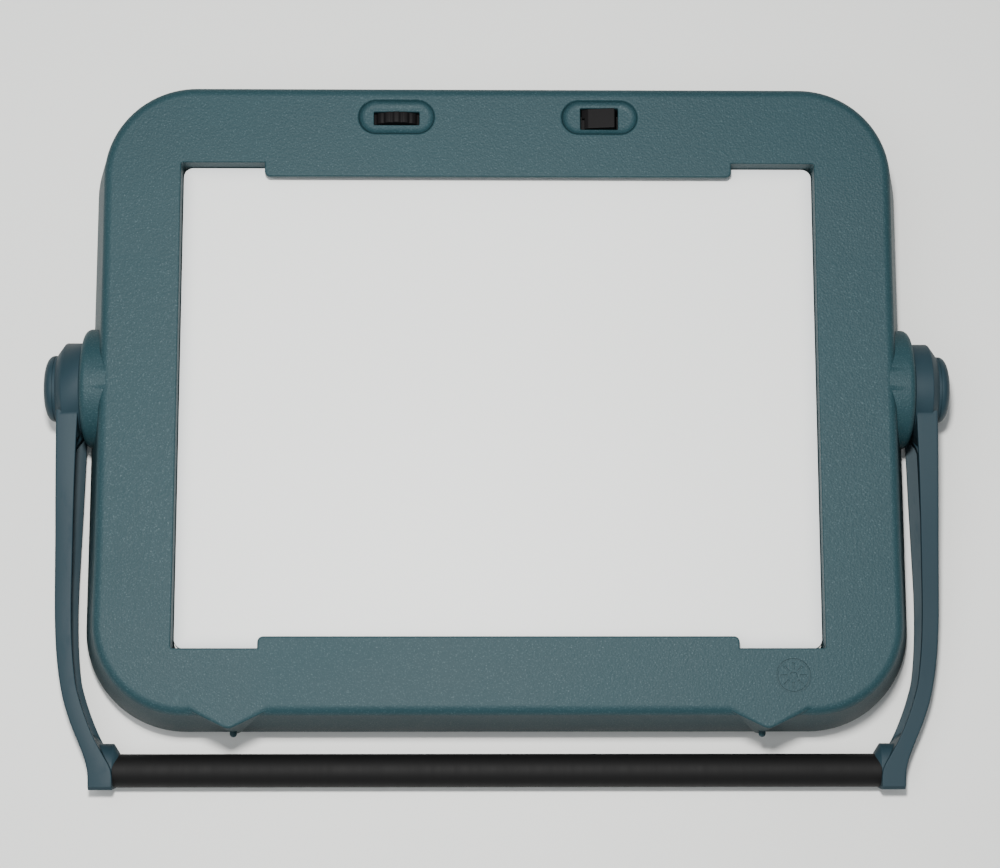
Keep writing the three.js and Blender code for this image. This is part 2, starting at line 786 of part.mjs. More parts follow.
function releaseButton() {
  const skirtEnd = hubInner + hubFloor + gap + buttonTravel;
  const step = hubOuter + 1.8;
  const inside = buttonOuter - buttonWall;
  const shell = solid(turned([
    [buttonRadius - buttonWall, skirtEnd], [buttonRadius, skirtEnd], [buttonRadius, step],
    [buttonRadius - 0.5, step + 0.4], [buttonRadius - 1.2, step + 1.8],
    [buttonRadius - 2.8, buttonOuter - 1.2], [buttonRadius - 5.4, buttonOuter - 0.3],
    [buttonRadius - 8.5, buttonOuter], [0, buttonOuter], [0, inside],
    [buttonRadius - buttonWall - 2.6, inside], [buttonRadius - buttonWall, inside - 2],
    [buttonRadius - buttonWall, skirtEnd],
  ], 24).rotateZ(-Math.PI / 2));
  let button = shell;
  for (let i = 0; i < legCount; i += 1) {
    const angle = (i / legCount) * Math.PI * 2;
    const leg = turned(rodProfile(legRadius, bossFace - 1.8, inside + 1), 6);
    button = button.add(alongX(leg, legOrbit * Math.cos(angle), legOrbit * Math.sin(angle)));
  }
  return button;
}

// ---- handle (right-hand arm, about the pivot axis)

// outer face, inner face and half depth of the arm at a distance from the pivot
function armStations() {
  const bend = armLength;
  return [
    { at: 6, outer: 0, inner: armOuter - hubInner - 0.2, half: 16.6 },
    { at: 30, outer: 0, inner: 9.0, half: 16.4 },
    { at: 52, outer: 0, inner: 8.2, half: 15.4 },
    { at: 78, outer: 0, inner: 7.5, half: 12.8 },
    { at: 98, outer: 0, inner: 7.1, half: 11.2 },
    { at: bend - 56, outer: 0.1, inner: 6.9, half: 10.2 },
    { at: bend - 44, outer: 0.6, inner: 7.8, half: 9.4 },
    { at: bend - 32, outer: 2.1, inner: 10.3, half: 9 },
    { at: bend - 22, outer: 5.5, inner: 13.6, half: 8.9 },
    { at: bend - 13, outer: 9.6, inner: 18, half: 9 },
    { at: bend - 6, outer: 12.9, inner: 22.3, half: 9.2 },
    { at: bend, outer: armBow, inner: armBow + armEndWidth, half: endHalf },
    { at: bend + endReach - 1.4, outer: armBow + 0.1, inner: armBow + armEndWidth, half: endHalf },
    { at: bend + endReach, outer: armBow + 0.1, inner: armBow + armEndWidth, half: endHalf - 1.2 },
  ];
}

function armSection(station) {
  const outer = armOuter - station.outer;
  const inner = armOuter - station.inner;
  const middle = (outer + inner) / 2;
  const ring = roundedRing((outer - inner) / 2, station.half, 1.4, 0, 1);
  return ring.map((p) => new THREE.Vector3(middle + p.x, -station.at, p.y));
}

function channelSection(station, deep, half) {
  const face = armOuter - station.inner - 1;
  const ring = [[face, -half], [face + 1 + deep, -half + 1], [face + 1 + deep, half - 1], [face, half]];
  return ring.map(([x, z]) => new THREE.Vector3(x, -station.at, z));
}

function armChannel() {
  const stations = armStations().slice(1, -4);
  const rings = stations.map((station, i) => {
    const end = i === 0 || i === stations.length - 1;
    return channelSection(station, end ? 0.2 : channelDepth, station.half - 3.4);
  });
  return loft(rings);
}

function arm() {
  const strip = loft(armStations().map((station) => armSection(station)));
  const chamfer = hubOuter - hubChamferIn;
  const hub = alongX(turned([
    [0, hubInner], [hubRadius, hubInner], [hubRadius, chamfer], [hubRadius - hubChamferDown, hubOuter],
    [0, hubOuter],
  ], 28));
  const collarFace = armEndInner - collarWidth;
  const collar = alongX(turned([
    [0, collarFace], [collarRadius - 2, collarFace], [collarRadius, collarFace + 1.6],
    [collarRadius, armEndInner + 2.4], [collarRadius - 1.6, armEndInner + 4.4], [0, armEndInner + 4.4],
  ], 20)).scale([1, 1, collarFlat]).translate([0, collarAhead - armLength, 0]);
  const floor = hubInner + hubFloor;
  const coreHole = rodProfile(coreRadius() + gap, collarFace - 1, armEndInner + coreSocket + gap);
  let body = joined(cut(strip, armChannel()), hub, collar);
  body = cut(
    body,
    alongX(turned(rodProfile(buttonRadius + gap, floor, armOuter + 5), 24)),
    alongX(turned(rodProfile(pinRadius + 0.4, hubInner - 1, floor + 1), 14)),
    alongX(turned(coreHole, 16), -armLength),
    alongX(turned(rodProfile(gripRadius + gap, collarFace - 1, armEndInner), 24), -armLength),
    alongX(turned(rodProfile(screwShank + 0.8 + gap, armEndInner, armEndOuter + 1), 10), -armLength),
    alongX(turned(rodProfile(screwHead + 1 + gap, armEndOuter - 2, armEndOuter + 1), 14), -armLength),
  );
  for (let i = 0; i < legCount; i += 1) {
    const angle = (i / legCount) * Math.PI * 2;
    const hole = turned(rodProfile(legRadius + 0.4, hubInner - 1, floor + 1), 8);
    body = body.subtract(alongX(hole, legOrbit * Math.cos(angle), legOrbit * Math.sin(angle)));
  }
  return body;
}

function coreRadius() {
  return gripRadius - gripWall - gap;
}

function gripTube() {
  return alongX(turned(pipeProfile(gripRadius - gripWall, gripRadius, -gripHalf, gripHalf), 24), -armLength);
}

function gripCore() {
  const half = armEndInner + coreSocket;
  const rod = alongX(turned(rodProfile(coreRadius(), -half, half), 16), -armLength);
  const bores = [1, -1].map((side) => {
    const reach = [half - 14, half + 1].map((x) => side * x).sort((a, b) => a - b);
    return alongX(turned(rodProfile(screwShank + 0.8 + gap, ...reach), 10), -armLength);
  });
  return cut(rod, ...bores);
}

function gripScrew() {
  const head = armEndOuter - 2 + gap;
  return alongX(turned([
    [0, armEndInner + coreSocket - 12], [screwShank + 0.8, armEndInner + coreSocket - 12],
    [screwShank + 0.8, head], [screwHead + 1, head], [screwHead + 0.4, head + 1.4], [0, head + 1.4],
  ], 12), -armLength);
}

// ---- assembly

const lightBox = new THREE.Group();
lightBox.position.y = footprintShift;

const handle = new THREE.Group();
handle.position.set(0, pivotOffset, pivotHeight);
handle.rotation.x = handleDroop;
lightBox.add(handle);

const pivots = new THREE.Group();
pivots.position.set(0, pivotOffset, pivotHeight);
lightBox.add(pivots);

function place(name, body, material, parent = lightBox) {
  const geometry = body.isBufferGeometry ? body : geometryOf(body);
  const mesh = new THREE.Mesh(geometry, material());
  mesh.name = name;
  parent.add(mesh);
  return mesh;
}

function placePair(name, body, material, parent) {
  const right = geometryOf(body);
  place(`right_${name}`, right, material, parent);
  place(`left_${name}`, mirrored(right), material, parent);
}

place('front_housing', frontHousing(), tealShell);
place('rear_cover', rearCover(), darkShell);
place('diffuser_panel', diffuserPanel(), opalAcrylic);
place('panel_frame', panelFrame(), whitePlastic);
place('reflector_tray', reflectorTray(), whitePlastic);
for (let i = 0; i < stripCount; i += 1) {
  place(`led_strip_${i + 1}`, ledStrip(i), whitePlastic);
}

place('control_board', controlBoard(), boardGreen);
place('dimmer_body', dimmerBody(), blackPlastic);
place('dimmer_wheel', dimmerWheel(), blackPlastic).position.set(-controlSpacing, controlY, wheelCentre);
place('switch_body', switchBody(), blackPlastic);
const rocker = place('switch_rocker', switchRocker(), blackPlastic);
rocker.position.set(controlSpacing, controlY, rockerPivotHeight());
rocker.rotation.y = -THREE.MathUtils.degToRad(rockerTilt);

place('battery_pack', batteryPack(), packBlue);
place('battery_door', batteryDoor(), darkShell);
place('battery_door_screw', doorScrew(), steel).position.set(doorScrewX, 0, 0);
place('power_inlet', powerInlet(), blackPlastic);

screwPlaces.forEach(([x, y], i) => {
  place(`housing_screw_${i + 1}`, housingScrew(), steel).position.set(x, y, 0);
});
footPlaces().forEach(([x, y], i) => {
  place(`rubber_foot_${i + 1}`, rubberFoot(), blackRubber).position.set(x, y, 0);
});
for (const [side, x] of [['right', standSpacing], ['left', -standSpacing]]) {
  place(`${side}_stand_bumper`, standBumper(), blackRubber).position.set(x, 0, bumperHeight);
}

placePair('detent_ring', detentRing(), steel, pivots);
placePair('pivot_pin', pivotPin(), steel, pivots);

placePair('arm', arm(), smoothTeal, handle);
placePair('release_button', releaseButton(), smoothTeal, handle);
placePair('return_spring', returnSpring(), steel, handle);
placePair('grip_screw', gripScrew(), steel, handle);
place('grip_tube', gripTube(), blackPlastic, handle);
place('grip_core', gripCore(), steel, handle);

export default lightBox;
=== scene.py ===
import json
import math
import bpy
import bmesh
from mathutils import Matrix, Vector


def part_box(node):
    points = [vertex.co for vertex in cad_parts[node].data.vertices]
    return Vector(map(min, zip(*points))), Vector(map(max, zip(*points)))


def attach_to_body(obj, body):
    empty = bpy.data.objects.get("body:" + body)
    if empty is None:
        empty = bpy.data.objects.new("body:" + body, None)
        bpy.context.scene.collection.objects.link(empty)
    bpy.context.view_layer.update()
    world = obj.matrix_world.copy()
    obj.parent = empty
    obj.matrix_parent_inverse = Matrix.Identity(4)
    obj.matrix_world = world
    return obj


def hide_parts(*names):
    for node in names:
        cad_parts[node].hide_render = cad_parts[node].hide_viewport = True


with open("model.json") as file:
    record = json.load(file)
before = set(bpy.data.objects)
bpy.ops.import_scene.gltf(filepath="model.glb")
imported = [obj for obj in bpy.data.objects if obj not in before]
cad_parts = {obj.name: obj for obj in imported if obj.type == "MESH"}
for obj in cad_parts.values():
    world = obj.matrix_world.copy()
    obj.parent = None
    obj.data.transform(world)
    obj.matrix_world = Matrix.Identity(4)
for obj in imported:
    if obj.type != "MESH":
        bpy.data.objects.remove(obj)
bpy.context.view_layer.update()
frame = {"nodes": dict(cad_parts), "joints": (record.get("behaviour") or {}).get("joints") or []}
jointPlace = {joint["name"]: [c * 1000 for c in joint["pos_m"]]
              for joint in frame["joints"] if "pos_m" in joint}

# Lengths below are millimetres in the frame's own axes; makeMesh turns them into metres.


def boxOf(node):
    low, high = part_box(node)
    return low * 1000, high * 1000


def middleOf(node):
    return [(low + high) / 2 for low, high in zip(*boxOf(node))]


def newObject(name, data):
    made = bpy.data.objects.new(name, data)
    bpy.context.scene.collection.objects.link(made)
    return made


# camera, lamps and sky

camera = newObject("camera", bpy.data.cameras.new("camera"))
bpy.context.scene.camera = camera
viewing = {"at": (-15.0, -189.4, 1098.9), "tilt": 10.028, "yaw": -0.845, "roll": 0.066, "lens": 86.4}
camera.data.lens = viewing["lens"]
camera.location = Vector(viewing["at"]) / 1000
turned = Matrix.Identity(3)
for angle, axis in (("tilt", "X"), ("yaw", "Y"), ("roll", "Z")):
    turned = turned @ Matrix.Rotation(math.radians(viewing[angle]), 3, axis)
camera.rotation_euler = turned.to_euler()

lamps = {
    "flash": {"at": (-0.045, 0.020, 1.1), "size": 0.10, "power": 17.0, "colour": (1.0, 0.985, 0.96)},
    "ceiling": {"at": (-0.75, -0.25, 2.0), "size": 2.0, "power": 22, "colour": (0.97, 0.99, 1.0)},
}
for lampName, lamp in lamps.items():
    light = bpy.data.lights.new(lampName, "AREA")
    light.shape = "DISK"
    light.size = lamp["size"]
    light.energy = lamp["power"]
    light.color = lamp["colour"]
    newObject(lampName, light).location = lamp["at"]

sky = {"Color": (0.93, 0.96, 1.0, 1), "Strength": 0.26}
world = bpy.data.worlds.new("studio")
world.use_nodes = True
for key, value in sky.items():
    world.node_tree.nodes["Background"].inputs[key].default_value = value
bpy.context.scene.world = world
print("camera and light placed")


# materials, written as sums of sockets

class Signal:
    # one socket of a material; adding or multiplying it adds the Math nodes

    def __init__(self, finish, socket):
        self.finish = finish
        self.socket = socket

    def sum(self, operation, first, second):
        return self.finish.node("ShaderNodeMath", {"operation": operation}, {0: first, 1: second})

    def __add__(self, other):
        return self.sum("ADD", self, other)

    def __radd__(self, other):
        return self.sum("ADD", other, self)

    def __sub__(self, other):
        return self.sum("SUBTRACT", self, other)

    def __rsub__(self, other):
        return self.sum("SUBTRACT", other, self)

    def __mul__(self, other):
        return self.sum("MULTIPLY", self, other)

    def __rmul__(self, other):
        return self.sum("MULTIPLY", other, self)


class Finish:
    # a material with one Principled shader, filled in a line at a time

    def __init__(self, name, colour, roughness, **constants):
        self.material = bpy.data.materials.new(name)
        self.material.use_nodes = True
        self.tree = self.material.node_tree
        self.shader = self.tree.nodes["Principled BSDF"]
        self.set("Base Color", (*colour, 1))
        self.set("Roughness", roughness)
        for key, value in constants.items():
            self.set(key.replace("_", " "), value)
        self.object = self.node("ShaderNodeTexCoord", {}, {}, "Object")

    def node(self, kind, settings, sockets, output=0):
        made = self.tree.nodes.new(kind)
        for key, value in settings.items():
            if key == "stops":
                for stop, (place, colour) in zip(made.color_ramp.elements, value):
                    stop.position = place
                    stop.color = (colour, colour, colour, 1)
            else:
                setattr(made, key, value)
        for key, value in sockets.items():
            self.feed(made.inputs[key], value)
        return Signal(self, made.outputs[output])

    def feed(self, target, value):
        if isinstance(value, Signal):
            self.tree.links.new(value.socket, target)
        else:
            target.default_value = value

    def set(self, key, value):
        self.feed(self.shader.inputs[key], value)

    def noise(self, grain, detail=2.0, rough=0.5, stretch=(1, 1, 1)):
        # grain is the size of one speck in millimetres
        scaled = self.node("ShaderNodeMapping", {}, {"Vector": self.object, "Scale": stretch}, "Vector")
        sockets = {"Vector": scaled, "Scale": 1000 / grain, "Detail": detail, "Roughness": rough}
        return self.node("ShaderNodeTexNoise", {}, sockets, "Fac")

    def cells(self, grain, output="Distance"):
        sockets = {"Vector": self.object, "Scale": 1000 / grain}
        return self.node("ShaderNodeTexVoronoi", {}, sockets, output)

    def ramp(self, signal, *stops):
        return self.node("ShaderNodeValToRGB", {"stops": stops}, {"Fac": signal}, "Color")

    def mix(self, factor, first, second):
        sockets = {0: factor, 6: (*first, 1) if isinstance(first, tuple) else first, 7: (*second, 1)}
        return self.node("ShaderNodeMix", {"data_type": "RGBA"}, sockets, 2)

    def axis(self, name):
        return self.node("ShaderNodeSeparateXYZ", {}, {"Vector": self.object}, name)

    def bump(self, height, depth, strength=1.0):
        # depth in millimetres
        sockets = {"Height": height, "Distance": depth / 1000, "Strength": strength}
        self.set("Normal", self.node("ShaderNodeBump", {}, sockets, "Normal"))


# finishes

def pebbledPlastic(name, colour, wornAndGlint, roughness=0.56):
    # spark-eroded texture: pebbles a little under a millimetre across, over a slow drift of colour, with painted
    # glints: pale specks in the base colour stand in for light catching the pebbles
    finish = Finish(name, colour, roughness)
    finish.set("Specular IOR Level", 0.3)
    pebbles = finish.cells(0.95)
    fine = finish.noise(0.65, 3.0, 0.6)
    drift = finish.noise(60, 2.0)
    dark = tuple(c * 0.90 for c in colour)
    pale = tuple(c * 1.10 + 0.002 for c in colour)
    shade = finish.mix(drift, dark, pale)
    # painted highlight: pale specks mixed into the base colour as glints of light off the pebbles; the same
    # specks are a little glossier
    glintSpeck = finish.ramp(fine, (0.56, 0.0), (0.70, 1.0))
    glinted = finish.mix(glintSpeck * 0.34, shade, wornAndGlint)
    edge = finish.node("ShaderNodeNewGeometry", {}, {}, "Pointiness")
    scuffs = finish.noise(7, 4.0, 0.7)
    wear = finish.ramp(edge, (0.54, 0.0), (0.64, 1.0)) * finish.ramp(scuffs, (0.50, 0.0), (0.72, 1.0))
    finish.set("Base Color", finish.mix(wear * 0.25, glinted, wornAndGlint))
    finish.set("Roughness", roughness - 0.10 * glintSpeck + 0.08 * drift)
    finish.bump(pebbles * 0.8 + fine * 0.6, 0.15, 0.8)
    return finish.material


def satinPlastic(name, colour, roughness=0.36):
    # smooth moulding with faint flow marks and handling scuffs
    finish = Finish(name, colour, roughness)
    drift = finish.noise(35, 2.0)
    fine = finish.noise(0.5, 2.0)
    scuffs = finish.ramp(finish.noise(9, 6.0, 0.75, (1, 0.25, 1)), (0.52, 0.0), (0.72, 1.0))
    pale = tuple(c * 1.35 + 0.004 for c in colour)
    finish.set("Specular IOR Level", 0.24)
    shade = finish.mix(drift * 0.5, tuple(c * 0.92 for c in colour), tuple(c * 1.10 for c in colour))
    finish.set("Base Color", finish.mix(scuffs * 0.22, shade, pale))
    finish.set("Roughness", roughness + 0.14 * scuffs + 0.08 * fine)
    finish.bump(fine + drift, 0.02, 0.5)
    return finish.material


def blackPlastic(name, colour=(0.004, 0.0036, 0.004), roughness=0.58):
    finish = Finish(name, colour, roughness)
    fine = finish.noise(0.35, 3.0, 0.6)
    dust = finish.ramp(finish.noise(0.9, 5.0, 0.8), (0.66, 0.0), (0.78, 1.0))
    finish.set("Specular IOR Level", 0.14)
    finish.set("Base Color", finish.mix(dust * 0.2, colour, (0.04, 0.04, 0.04)))
    finish.set("Roughness", roughness + 0.2 * dust + 0.1 * fine)
    finish.bump(fine, 0.03, 0.6)
    return finish.material


def gripFoam(name):
    # closed dense sleeve with a satin skin, faintly ringed where it was pushed on
    finish = Finish(name, (0.004, 0.004, 0.004), 0.6, Specular_IOR_Level=0.22)
    fine = finish.noise(0.4, 3.0, 0.6)
    rings = finish.noise(3, 3.0, 0.6, (1, 0.05, 0.05))
    lint = finish.ramp(finish.noise(1.1, 6.0, 0.85), (0.68, 0.0), (0.80, 1.0))
    finish.set("Base Color", finish.mix(lint * 0.2, (0.004, 0.004, 0.0042), (0.04, 0.04, 0.04)))
    finish.set("Roughness", 0.56 + 0.12 * rings + 0.1 * fine)
    finish.bump(fine * 0.6 + rings, 0.03, 0.5)
    return finish.material


def opalAcrylic(name, panel):
    # milky sheet with painted shade darkening its edges where no lamp reaches, and fine wiping scratches
    finish = Finish(name, (0.84, 0.86, 0.85), 0.4, Specular_IOR_Level=0.25)
    low, high = panel
    shaded = 0.009  # metres of each edge that no lamp reaches
    fades = []
    for axis, side in (("X", 0), ("Y", 1)):
        half = (high[side] - low[side]) / 2000
        middle = (high[side] + low[side]) / 2000
        away = finish.node("ShaderNodeMath", {"operation": "ABSOLUTE"}, {0: finish.axis(axis) - middle})
        fades.append((away - (half - shaded)) * (1 / shaded))
    nearest = finish.node("ShaderNodeMath", {"operation": "MAXIMUM"}, {0: fades[0], 1: fades[1]})
    inward = finish.node("ShaderNodeMath", {"operation": "MAXIMUM"}, {0: nearest, 1: 0.0})
    edgeShade = finish.node("ShaderNodeMath", {"operation": "POWER", "use_clamp": True}, {0: inward, 1: 2.2})
    cloud = finish.noise(120, 2.0)
    base = finish.mix(cloud, (0.82, 0.84, 0.825), (0.86, 0.875, 0.865))
    # painted shade: the panel's edges are mixed towards grey
    finish.set("Base Color", finish.mix(edgeShade * 0.8, base, (0.60, 0.63, 0.65)))
    across = finish.ramp(finish.noise(5, 9.0, 0.9, (6, 0.25, 1)), (0.60, 0.0), (0.72, 1.0))
    along = finish.ramp(finish.noise(4, 9.0, 0.9, (0.2, 7, 1)), (0.62, 0.0), (0.74, 1.0))
    finish.set("Roughness", 0.42 - 0.16 * across - 0.16 * along)
    finish.bump(across + along, 0.02, 0.6)
    return finish.material


def brushedSteel(name, colour=(0.55, 0.56, 0.57), roughness=0.32):
    finish = Finish(name, colour, roughness, Metallic=1.0)
    brushing = finish.noise(1.2, 6.0, 0.7, (8, 1, 1))
    tarnish = finish.ramp(finish.noise(4, 5.0, 0.7), (0.5, 0.0), (0.75, 1.0))
    finish.set("Base Color", finish.mix(tarnish * 0.4, colour, (0.30, 0.29, 0.27)))
    finish.set("Roughness", roughness + 0.2 * brushing)
    finish.bump(brushing, 0.01, 0.5)
    return finish.material


def circuitLaminate(name, colour, copper):
    # glass-fibre board: weave under the lacquer, traces as rows of cells
    finish = Finish(name, colour, 0.4, Coat_Weight=0.3)
    weave = finish.noise(0.8, 1.0, 0.5, (1, 4, 1)) * finish.noise(0.8, 1.0, 0.5, (4, 1, 1))
    traces = finish.ramp(finish.cells(5, "Color"), (0.5, 0.0), (0.52, 1.0))
    finish.set("Base Color", finish.mix(traces * 0.4, finish.mix(weave, colour, copper), copper))
    finish.bump(weave, 0.02, 0.4)
    return finish.material


def wornRubber(name, colour=(0.02, 0.02, 0.021)):
    finish = Finish(name, colour, 0.8)
    fine = finish.noise(0.5, 4.0, 0.7)
    dust = finish.ramp(finish.noise(2.5, 6.0, 0.8), (0.5, 0.0), (0.75, 1.0))
    finish.set("Base Color", finish.mix(dust * 0.45, colour, (0.16, 0.15, 0.14)))
    finish.set("Roughness", 0.74 + 0.2 * fine)
    finish.bump(fine, 0.05, 0.7)
    return finish.material


def tableFinish(name):
    finish = Finish(name, (0.80, 0.815, 0.795), 0.5)
    cloud = finish.noise(160, 3.0)
    finish.set("Base Color", finish.mix(cloud, (0.785, 0.80, 0.78), (0.83, 0.84, 0.82)))
    finish.bump(finish.noise(4, 4.0), 0.03, 0.3)
    return finish.material


panelBox = boxOf("diffuser_panel")
finishes = {
    "bezel": pebbledPlastic("bezel_texture", (0.0088, 0.0370, 0.0460), (0.076, 0.138, 0.156)),
    "cover": pebbledPlastic("cover_texture", (0.0075, 0.030, 0.0375), (0.060, 0.108, 0.120)),
    "handle": satinPlastic("handle_satin", (0.0128, 0.0325, 0.0440), 0.54),
    "grip": gripFoam("grip_sleeve"),
    "control": blackPlastic("control_black"),
    "fitting": blackPlastic("fitting_black", (0.006, 0.006, 0.0065), 0.5),
    "panel": opalAcrylic("opal_sheet", panelBox),
    "white": satinPlastic("reflector_white", (0.78, 0.78, 0.76), 0.5),
    "steel": brushedSteel("bright_steel"),
    "board": circuitLaminate("circuit_board", (0.012, 0.09, 0.04), (0.05, 0.16, 0.06)),
    "strip": circuitLaminate("led_board", (0.62, 0.63, 0.60), (0.74, 0.72, 0.60)),
    "rubber": wornRubber("foot_rubber"),
    "wrap": satinPlastic("battery_wrap", (0.03, 0.07, 0.19), 0.3),
    "stencil": blackPlastic("stencil"),
    "table": tableFinish("pale_table"),
}
print("finishes ready")


# mesh helpers

def makeMesh(name, points, faces, finish="bezel"):
    data = bpy.data.meshes.new(name)
    data.from_pydata([[c / 1000 for c in point] for point in points], [], faces)
    data.materials.append(finishes[finish])
    body = bmesh.new()
    body.from_mesh(data)
    bmesh.ops.remove_doubles(body, verts=body.verts, dist=1e-7)
    bmesh.ops.recalc_face_normals(body, faces=body.faces)
    body.to_mesh(data)
    body.free()
    return newObject(name, data)


def settle(piece):
    # the evaluated mesh becomes the piece's own, and its modifiers go
    shown = piece.evaluated_get(bpy.context.evaluated_depsgraph_get())
    data = bpy.data.meshes.new_from_object(shown)
    piece.modifiers.clear()
    piece.data = data


def carve(piece, *tools, operation="DIFFERENCE"):
    for tool in tools:
        change = piece.modifiers.new("carve", "BOOLEAN")
        change.operation = operation
        change.solver = "EXACT"
        change.object = tool
        settle(piece)
        bpy.data.objects.remove(tool)
    return piece


def weld(piece, *others):
    return carve(piece, *others, operation="UNION")


levelFace = {"upright": 0.985, "area": 4e-5, "shallow": 1}  # a face that counts as level, and its slope


def polish(piece, angle=32):
    # smooth shading, with edges kept where faces turn sharply or two level faces meet on a shallow slope
    data = piece.data
    body = bmesh.new()
    body.from_mesh(data)
    bmesh.ops.dissolve_degenerate(body, dist=1e-7, edges=body.edges)
    for face in body.faces:
        face.smooth = True
    for edge in body.edges:
        turn = edge.calc_face_angle(0) if len(edge.link_faces) == 2 else 0
        level = all(face.normal.z > levelFace["upright"] and face.calc_area() > levelFace["area"]
                    for face in edge.link_faces)
        limit = levelFace["shallow"] if level else angle
        edge.smooth = turn <= math.radians(limit)
    body.to_mesh(data)
    body.free()
    weighted = piece.modifiers.new("normals", "WEIGHTED_NORMAL")
    weighted.keep_sharp = True
    settle(piece)
    return piece


def attach(piece, body, slot, *nodes):
    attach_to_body(piece, body)
    if nodes:
        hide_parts(*nodes)
    return piece


def mirrorPiece(piece, name):
    other = newObject(name, piece.data.copy())
    other.data.transform(Matrix.Scale(-1, 4, (1, 0, 0)))
    other.data.flip_normals()
    return other


def roundedRing(halfWide, halfLong, radius, steps=8, middle=(0, 0), stops=()):
    ring = []
    for quarter, (sx, sy) in enumerate(((1, 1), (-1, 1), (-1, -1), (1, -1))):
        centre = (middle[0] + sx * (halfWide - radius), middle[1] + sy * (halfLong - radius))
        for i in range(steps + 1):
            angle = (quarter + i / steps) * math.pi / 2
            ring.append((centre[0] + radius * math.cos(angle), centre[1] + radius * math.sin(angle)))
        if quarter == 1:
            ring += [(middle[0] - halfWide, y) for y in sorted(stops, reverse=True)]
        if quarter == 3:
            ring += [(middle[0] + halfWide, y) for y in sorted(stops)]
    return ring


def atHeight(ring, z):
    return [(x, y, z) for x, y in ring]


def loft(name, rings, finish="bezel", closed=False):
    # rings of equal count; a closed loft joins its last ring to its first, an open one gets two caps
    count = len(rings[0])
    points = [point for ring in rings for point in ring]
    faces = []
    for level in range(len(rings) if closed else len(rings) - 1):
        here = level * count
        there = ((level + 1) % len(rings)) * count
        for i in range(count):
            j = (i + 1) % count
            faces.append((here + i, here + j, there + j, there + i))
    if not closed:
        faces.append(tuple(reversed(range(count))))
        faces.append(tuple(range((len(rings) - 1) * count, len(rings) * count)))
    return makeMesh(name, points, faces, finish)


def lathe(name, profile, axis, centre, finish="bezel", steps=64):
    # profile: (radius, distance along the axis) pairs, either closed or starting and ending on the axis
    turns = {
        "x": lambda r, h, a: (h, centre[0] + r * math.cos(a), centre[1] + r * math.sin(a)),
        "y": lambda r, h, a: (centre[0] + r * math.cos(a), h, centre[1] + r * math.sin(a)),
        "z": lambda r, h, a: (centre[0] + r * math.cos(a), centre[1] + r * math.sin(a), h),
    }
    points = [turns[axis](r, h, 2 * math.pi * i / steps) for r, h in profile for i in range(steps)]
    faces = []
    for level in range(len(profile) - 1):
        for i in range(steps):
            j = (i + 1) % steps
            a, b = level * steps + i, level * steps + j
            loop = [a, b, b + steps, a + steps]
            if profile[level][0] == 0:
                loop = [a, b + steps, a + steps]
            elif profile[level + 1][0] == 0:
                loop = [a, b, a + steps]
            faces.append(tuple(loop))
    return makeMesh(name, points, faces, finish)


def plug(name, radius, start, end, axis, centre, finish="bezel", steps=40):
    # a plain round bar, mostly to cut a bore with
    return lathe(name, [(0, start), (radius, start), (radius, end), (0, end)], axis, centre, finish, steps)


def block(name, low, high, finish="bezel"):
    ring = [(low[0], low[1]), (high[0], low[1]), (high[0], high[1]), (low[0], high[1])]
    return loft(name, [atHeight(ring, low[2]), atHeight(ring, high[2])], finish)


def arc(centre, radius, start, end, steps=6):
    # (radius, along) points of a quarter or other arc, for lathe profiles; angles in degrees
    angles = [math.radians(start + (end - start) * i / steps) for i in range(steps + 1)]
    return [(centre[0] + radius * math.cos(a), centre[1] + radius * math.sin(a)) for a in angles]


def quarterTurn(steps):
    return [math.radians(90 / steps * i) for i in range(steps + 1)]


def rounding(radius, height, steps=4):
    # (inset, z) pairs up a rounded edge that ends at this height
    return [(radius * (1 - math.cos(a)), height - radius + radius * math.sin(a))
            for a in quarterTurn(steps)]


def between(stations, at):
    # smooth curve through (place, value) stations
    if at <= stations[0][0]:
        return stations[0][1]
    if at >= stations[-1][0]:
        return stations[-1][1]
    i = max(k for k in range(len(stations) - 1) if stations[k][0] <= at)
    last = len(stations) - 1
    before, here, after, beyond = (stations[max(0, min(last, i + k))] for k in (-1, 0, 1, 2))
    width = after[0] - here[0]
    t = (at - here[0]) / width
    leave = (after[1] - before[1]) / (after[0] - before[0]) * width
    arrive = (beyond[1] - here[1]) / (beyond[0] - here[0]) * width
    return ((2 * t**3 - 3 * t**2 + 1) * here[1] + (t**3 - 2 * t**2 + t) * leave
            + (3 * t**2 - 2 * t**3) * after[1] + (t**3 - t**2) * arrive)


# what repeats, as Geometry Nodes patterns

def patternTree(name, *labels):
    # a node group with one input for each size; add gives a new node's first output
    tree = bpy.data.node_groups.new(name, "GeometryNodeTree")
    tree.interface.new_socket("Geometry", in_out="INPUT", socket_type="NodeSocketGeometry")
    for label in labels:
        kind = "NodeSocketInt" if label == "Count" else "NodeSocketFloat"
        tree.interface.new_socket(label, in_out="INPUT", socket_type=kind)
    tree.interface.new_socket("Geometry", in_out="OUTPUT", socket_type="NodeSocketGeometry")

    def wire(socket, value):
        if isinstance(value, list):
            for item in value:
                wire(socket, item)
        elif isinstance(value, bpy.types.NodeSocket):
            tree.links.new(value, socket)
        else:
            socket.default_value = value

    def add(kind, settings=(), *values, **links):
        made = tree.nodes.new(kind)
        for key, value in dict(settings).items():
            setattr(made, key, value)
        for i, value in enumerate(values):
            wire(made.inputs[i], value)
        for key, value in links.items():
            wire(made.inputs[key.replace("_", " ")], value)
        return made.outputs[0]

    def close(geometry, finish):
        real = add("GeometryNodeRealizeInstances", Geometry=geometry)
        dressed = add("GeometryNodeSetMaterial", Geometry=real, Material=finishes[finish])
        wire(tree.nodes.new("NodeGroupOutput").inputs[0], dressed)
        return tree

    return tree.nodes.new("NodeGroupInput").outputs, add, close


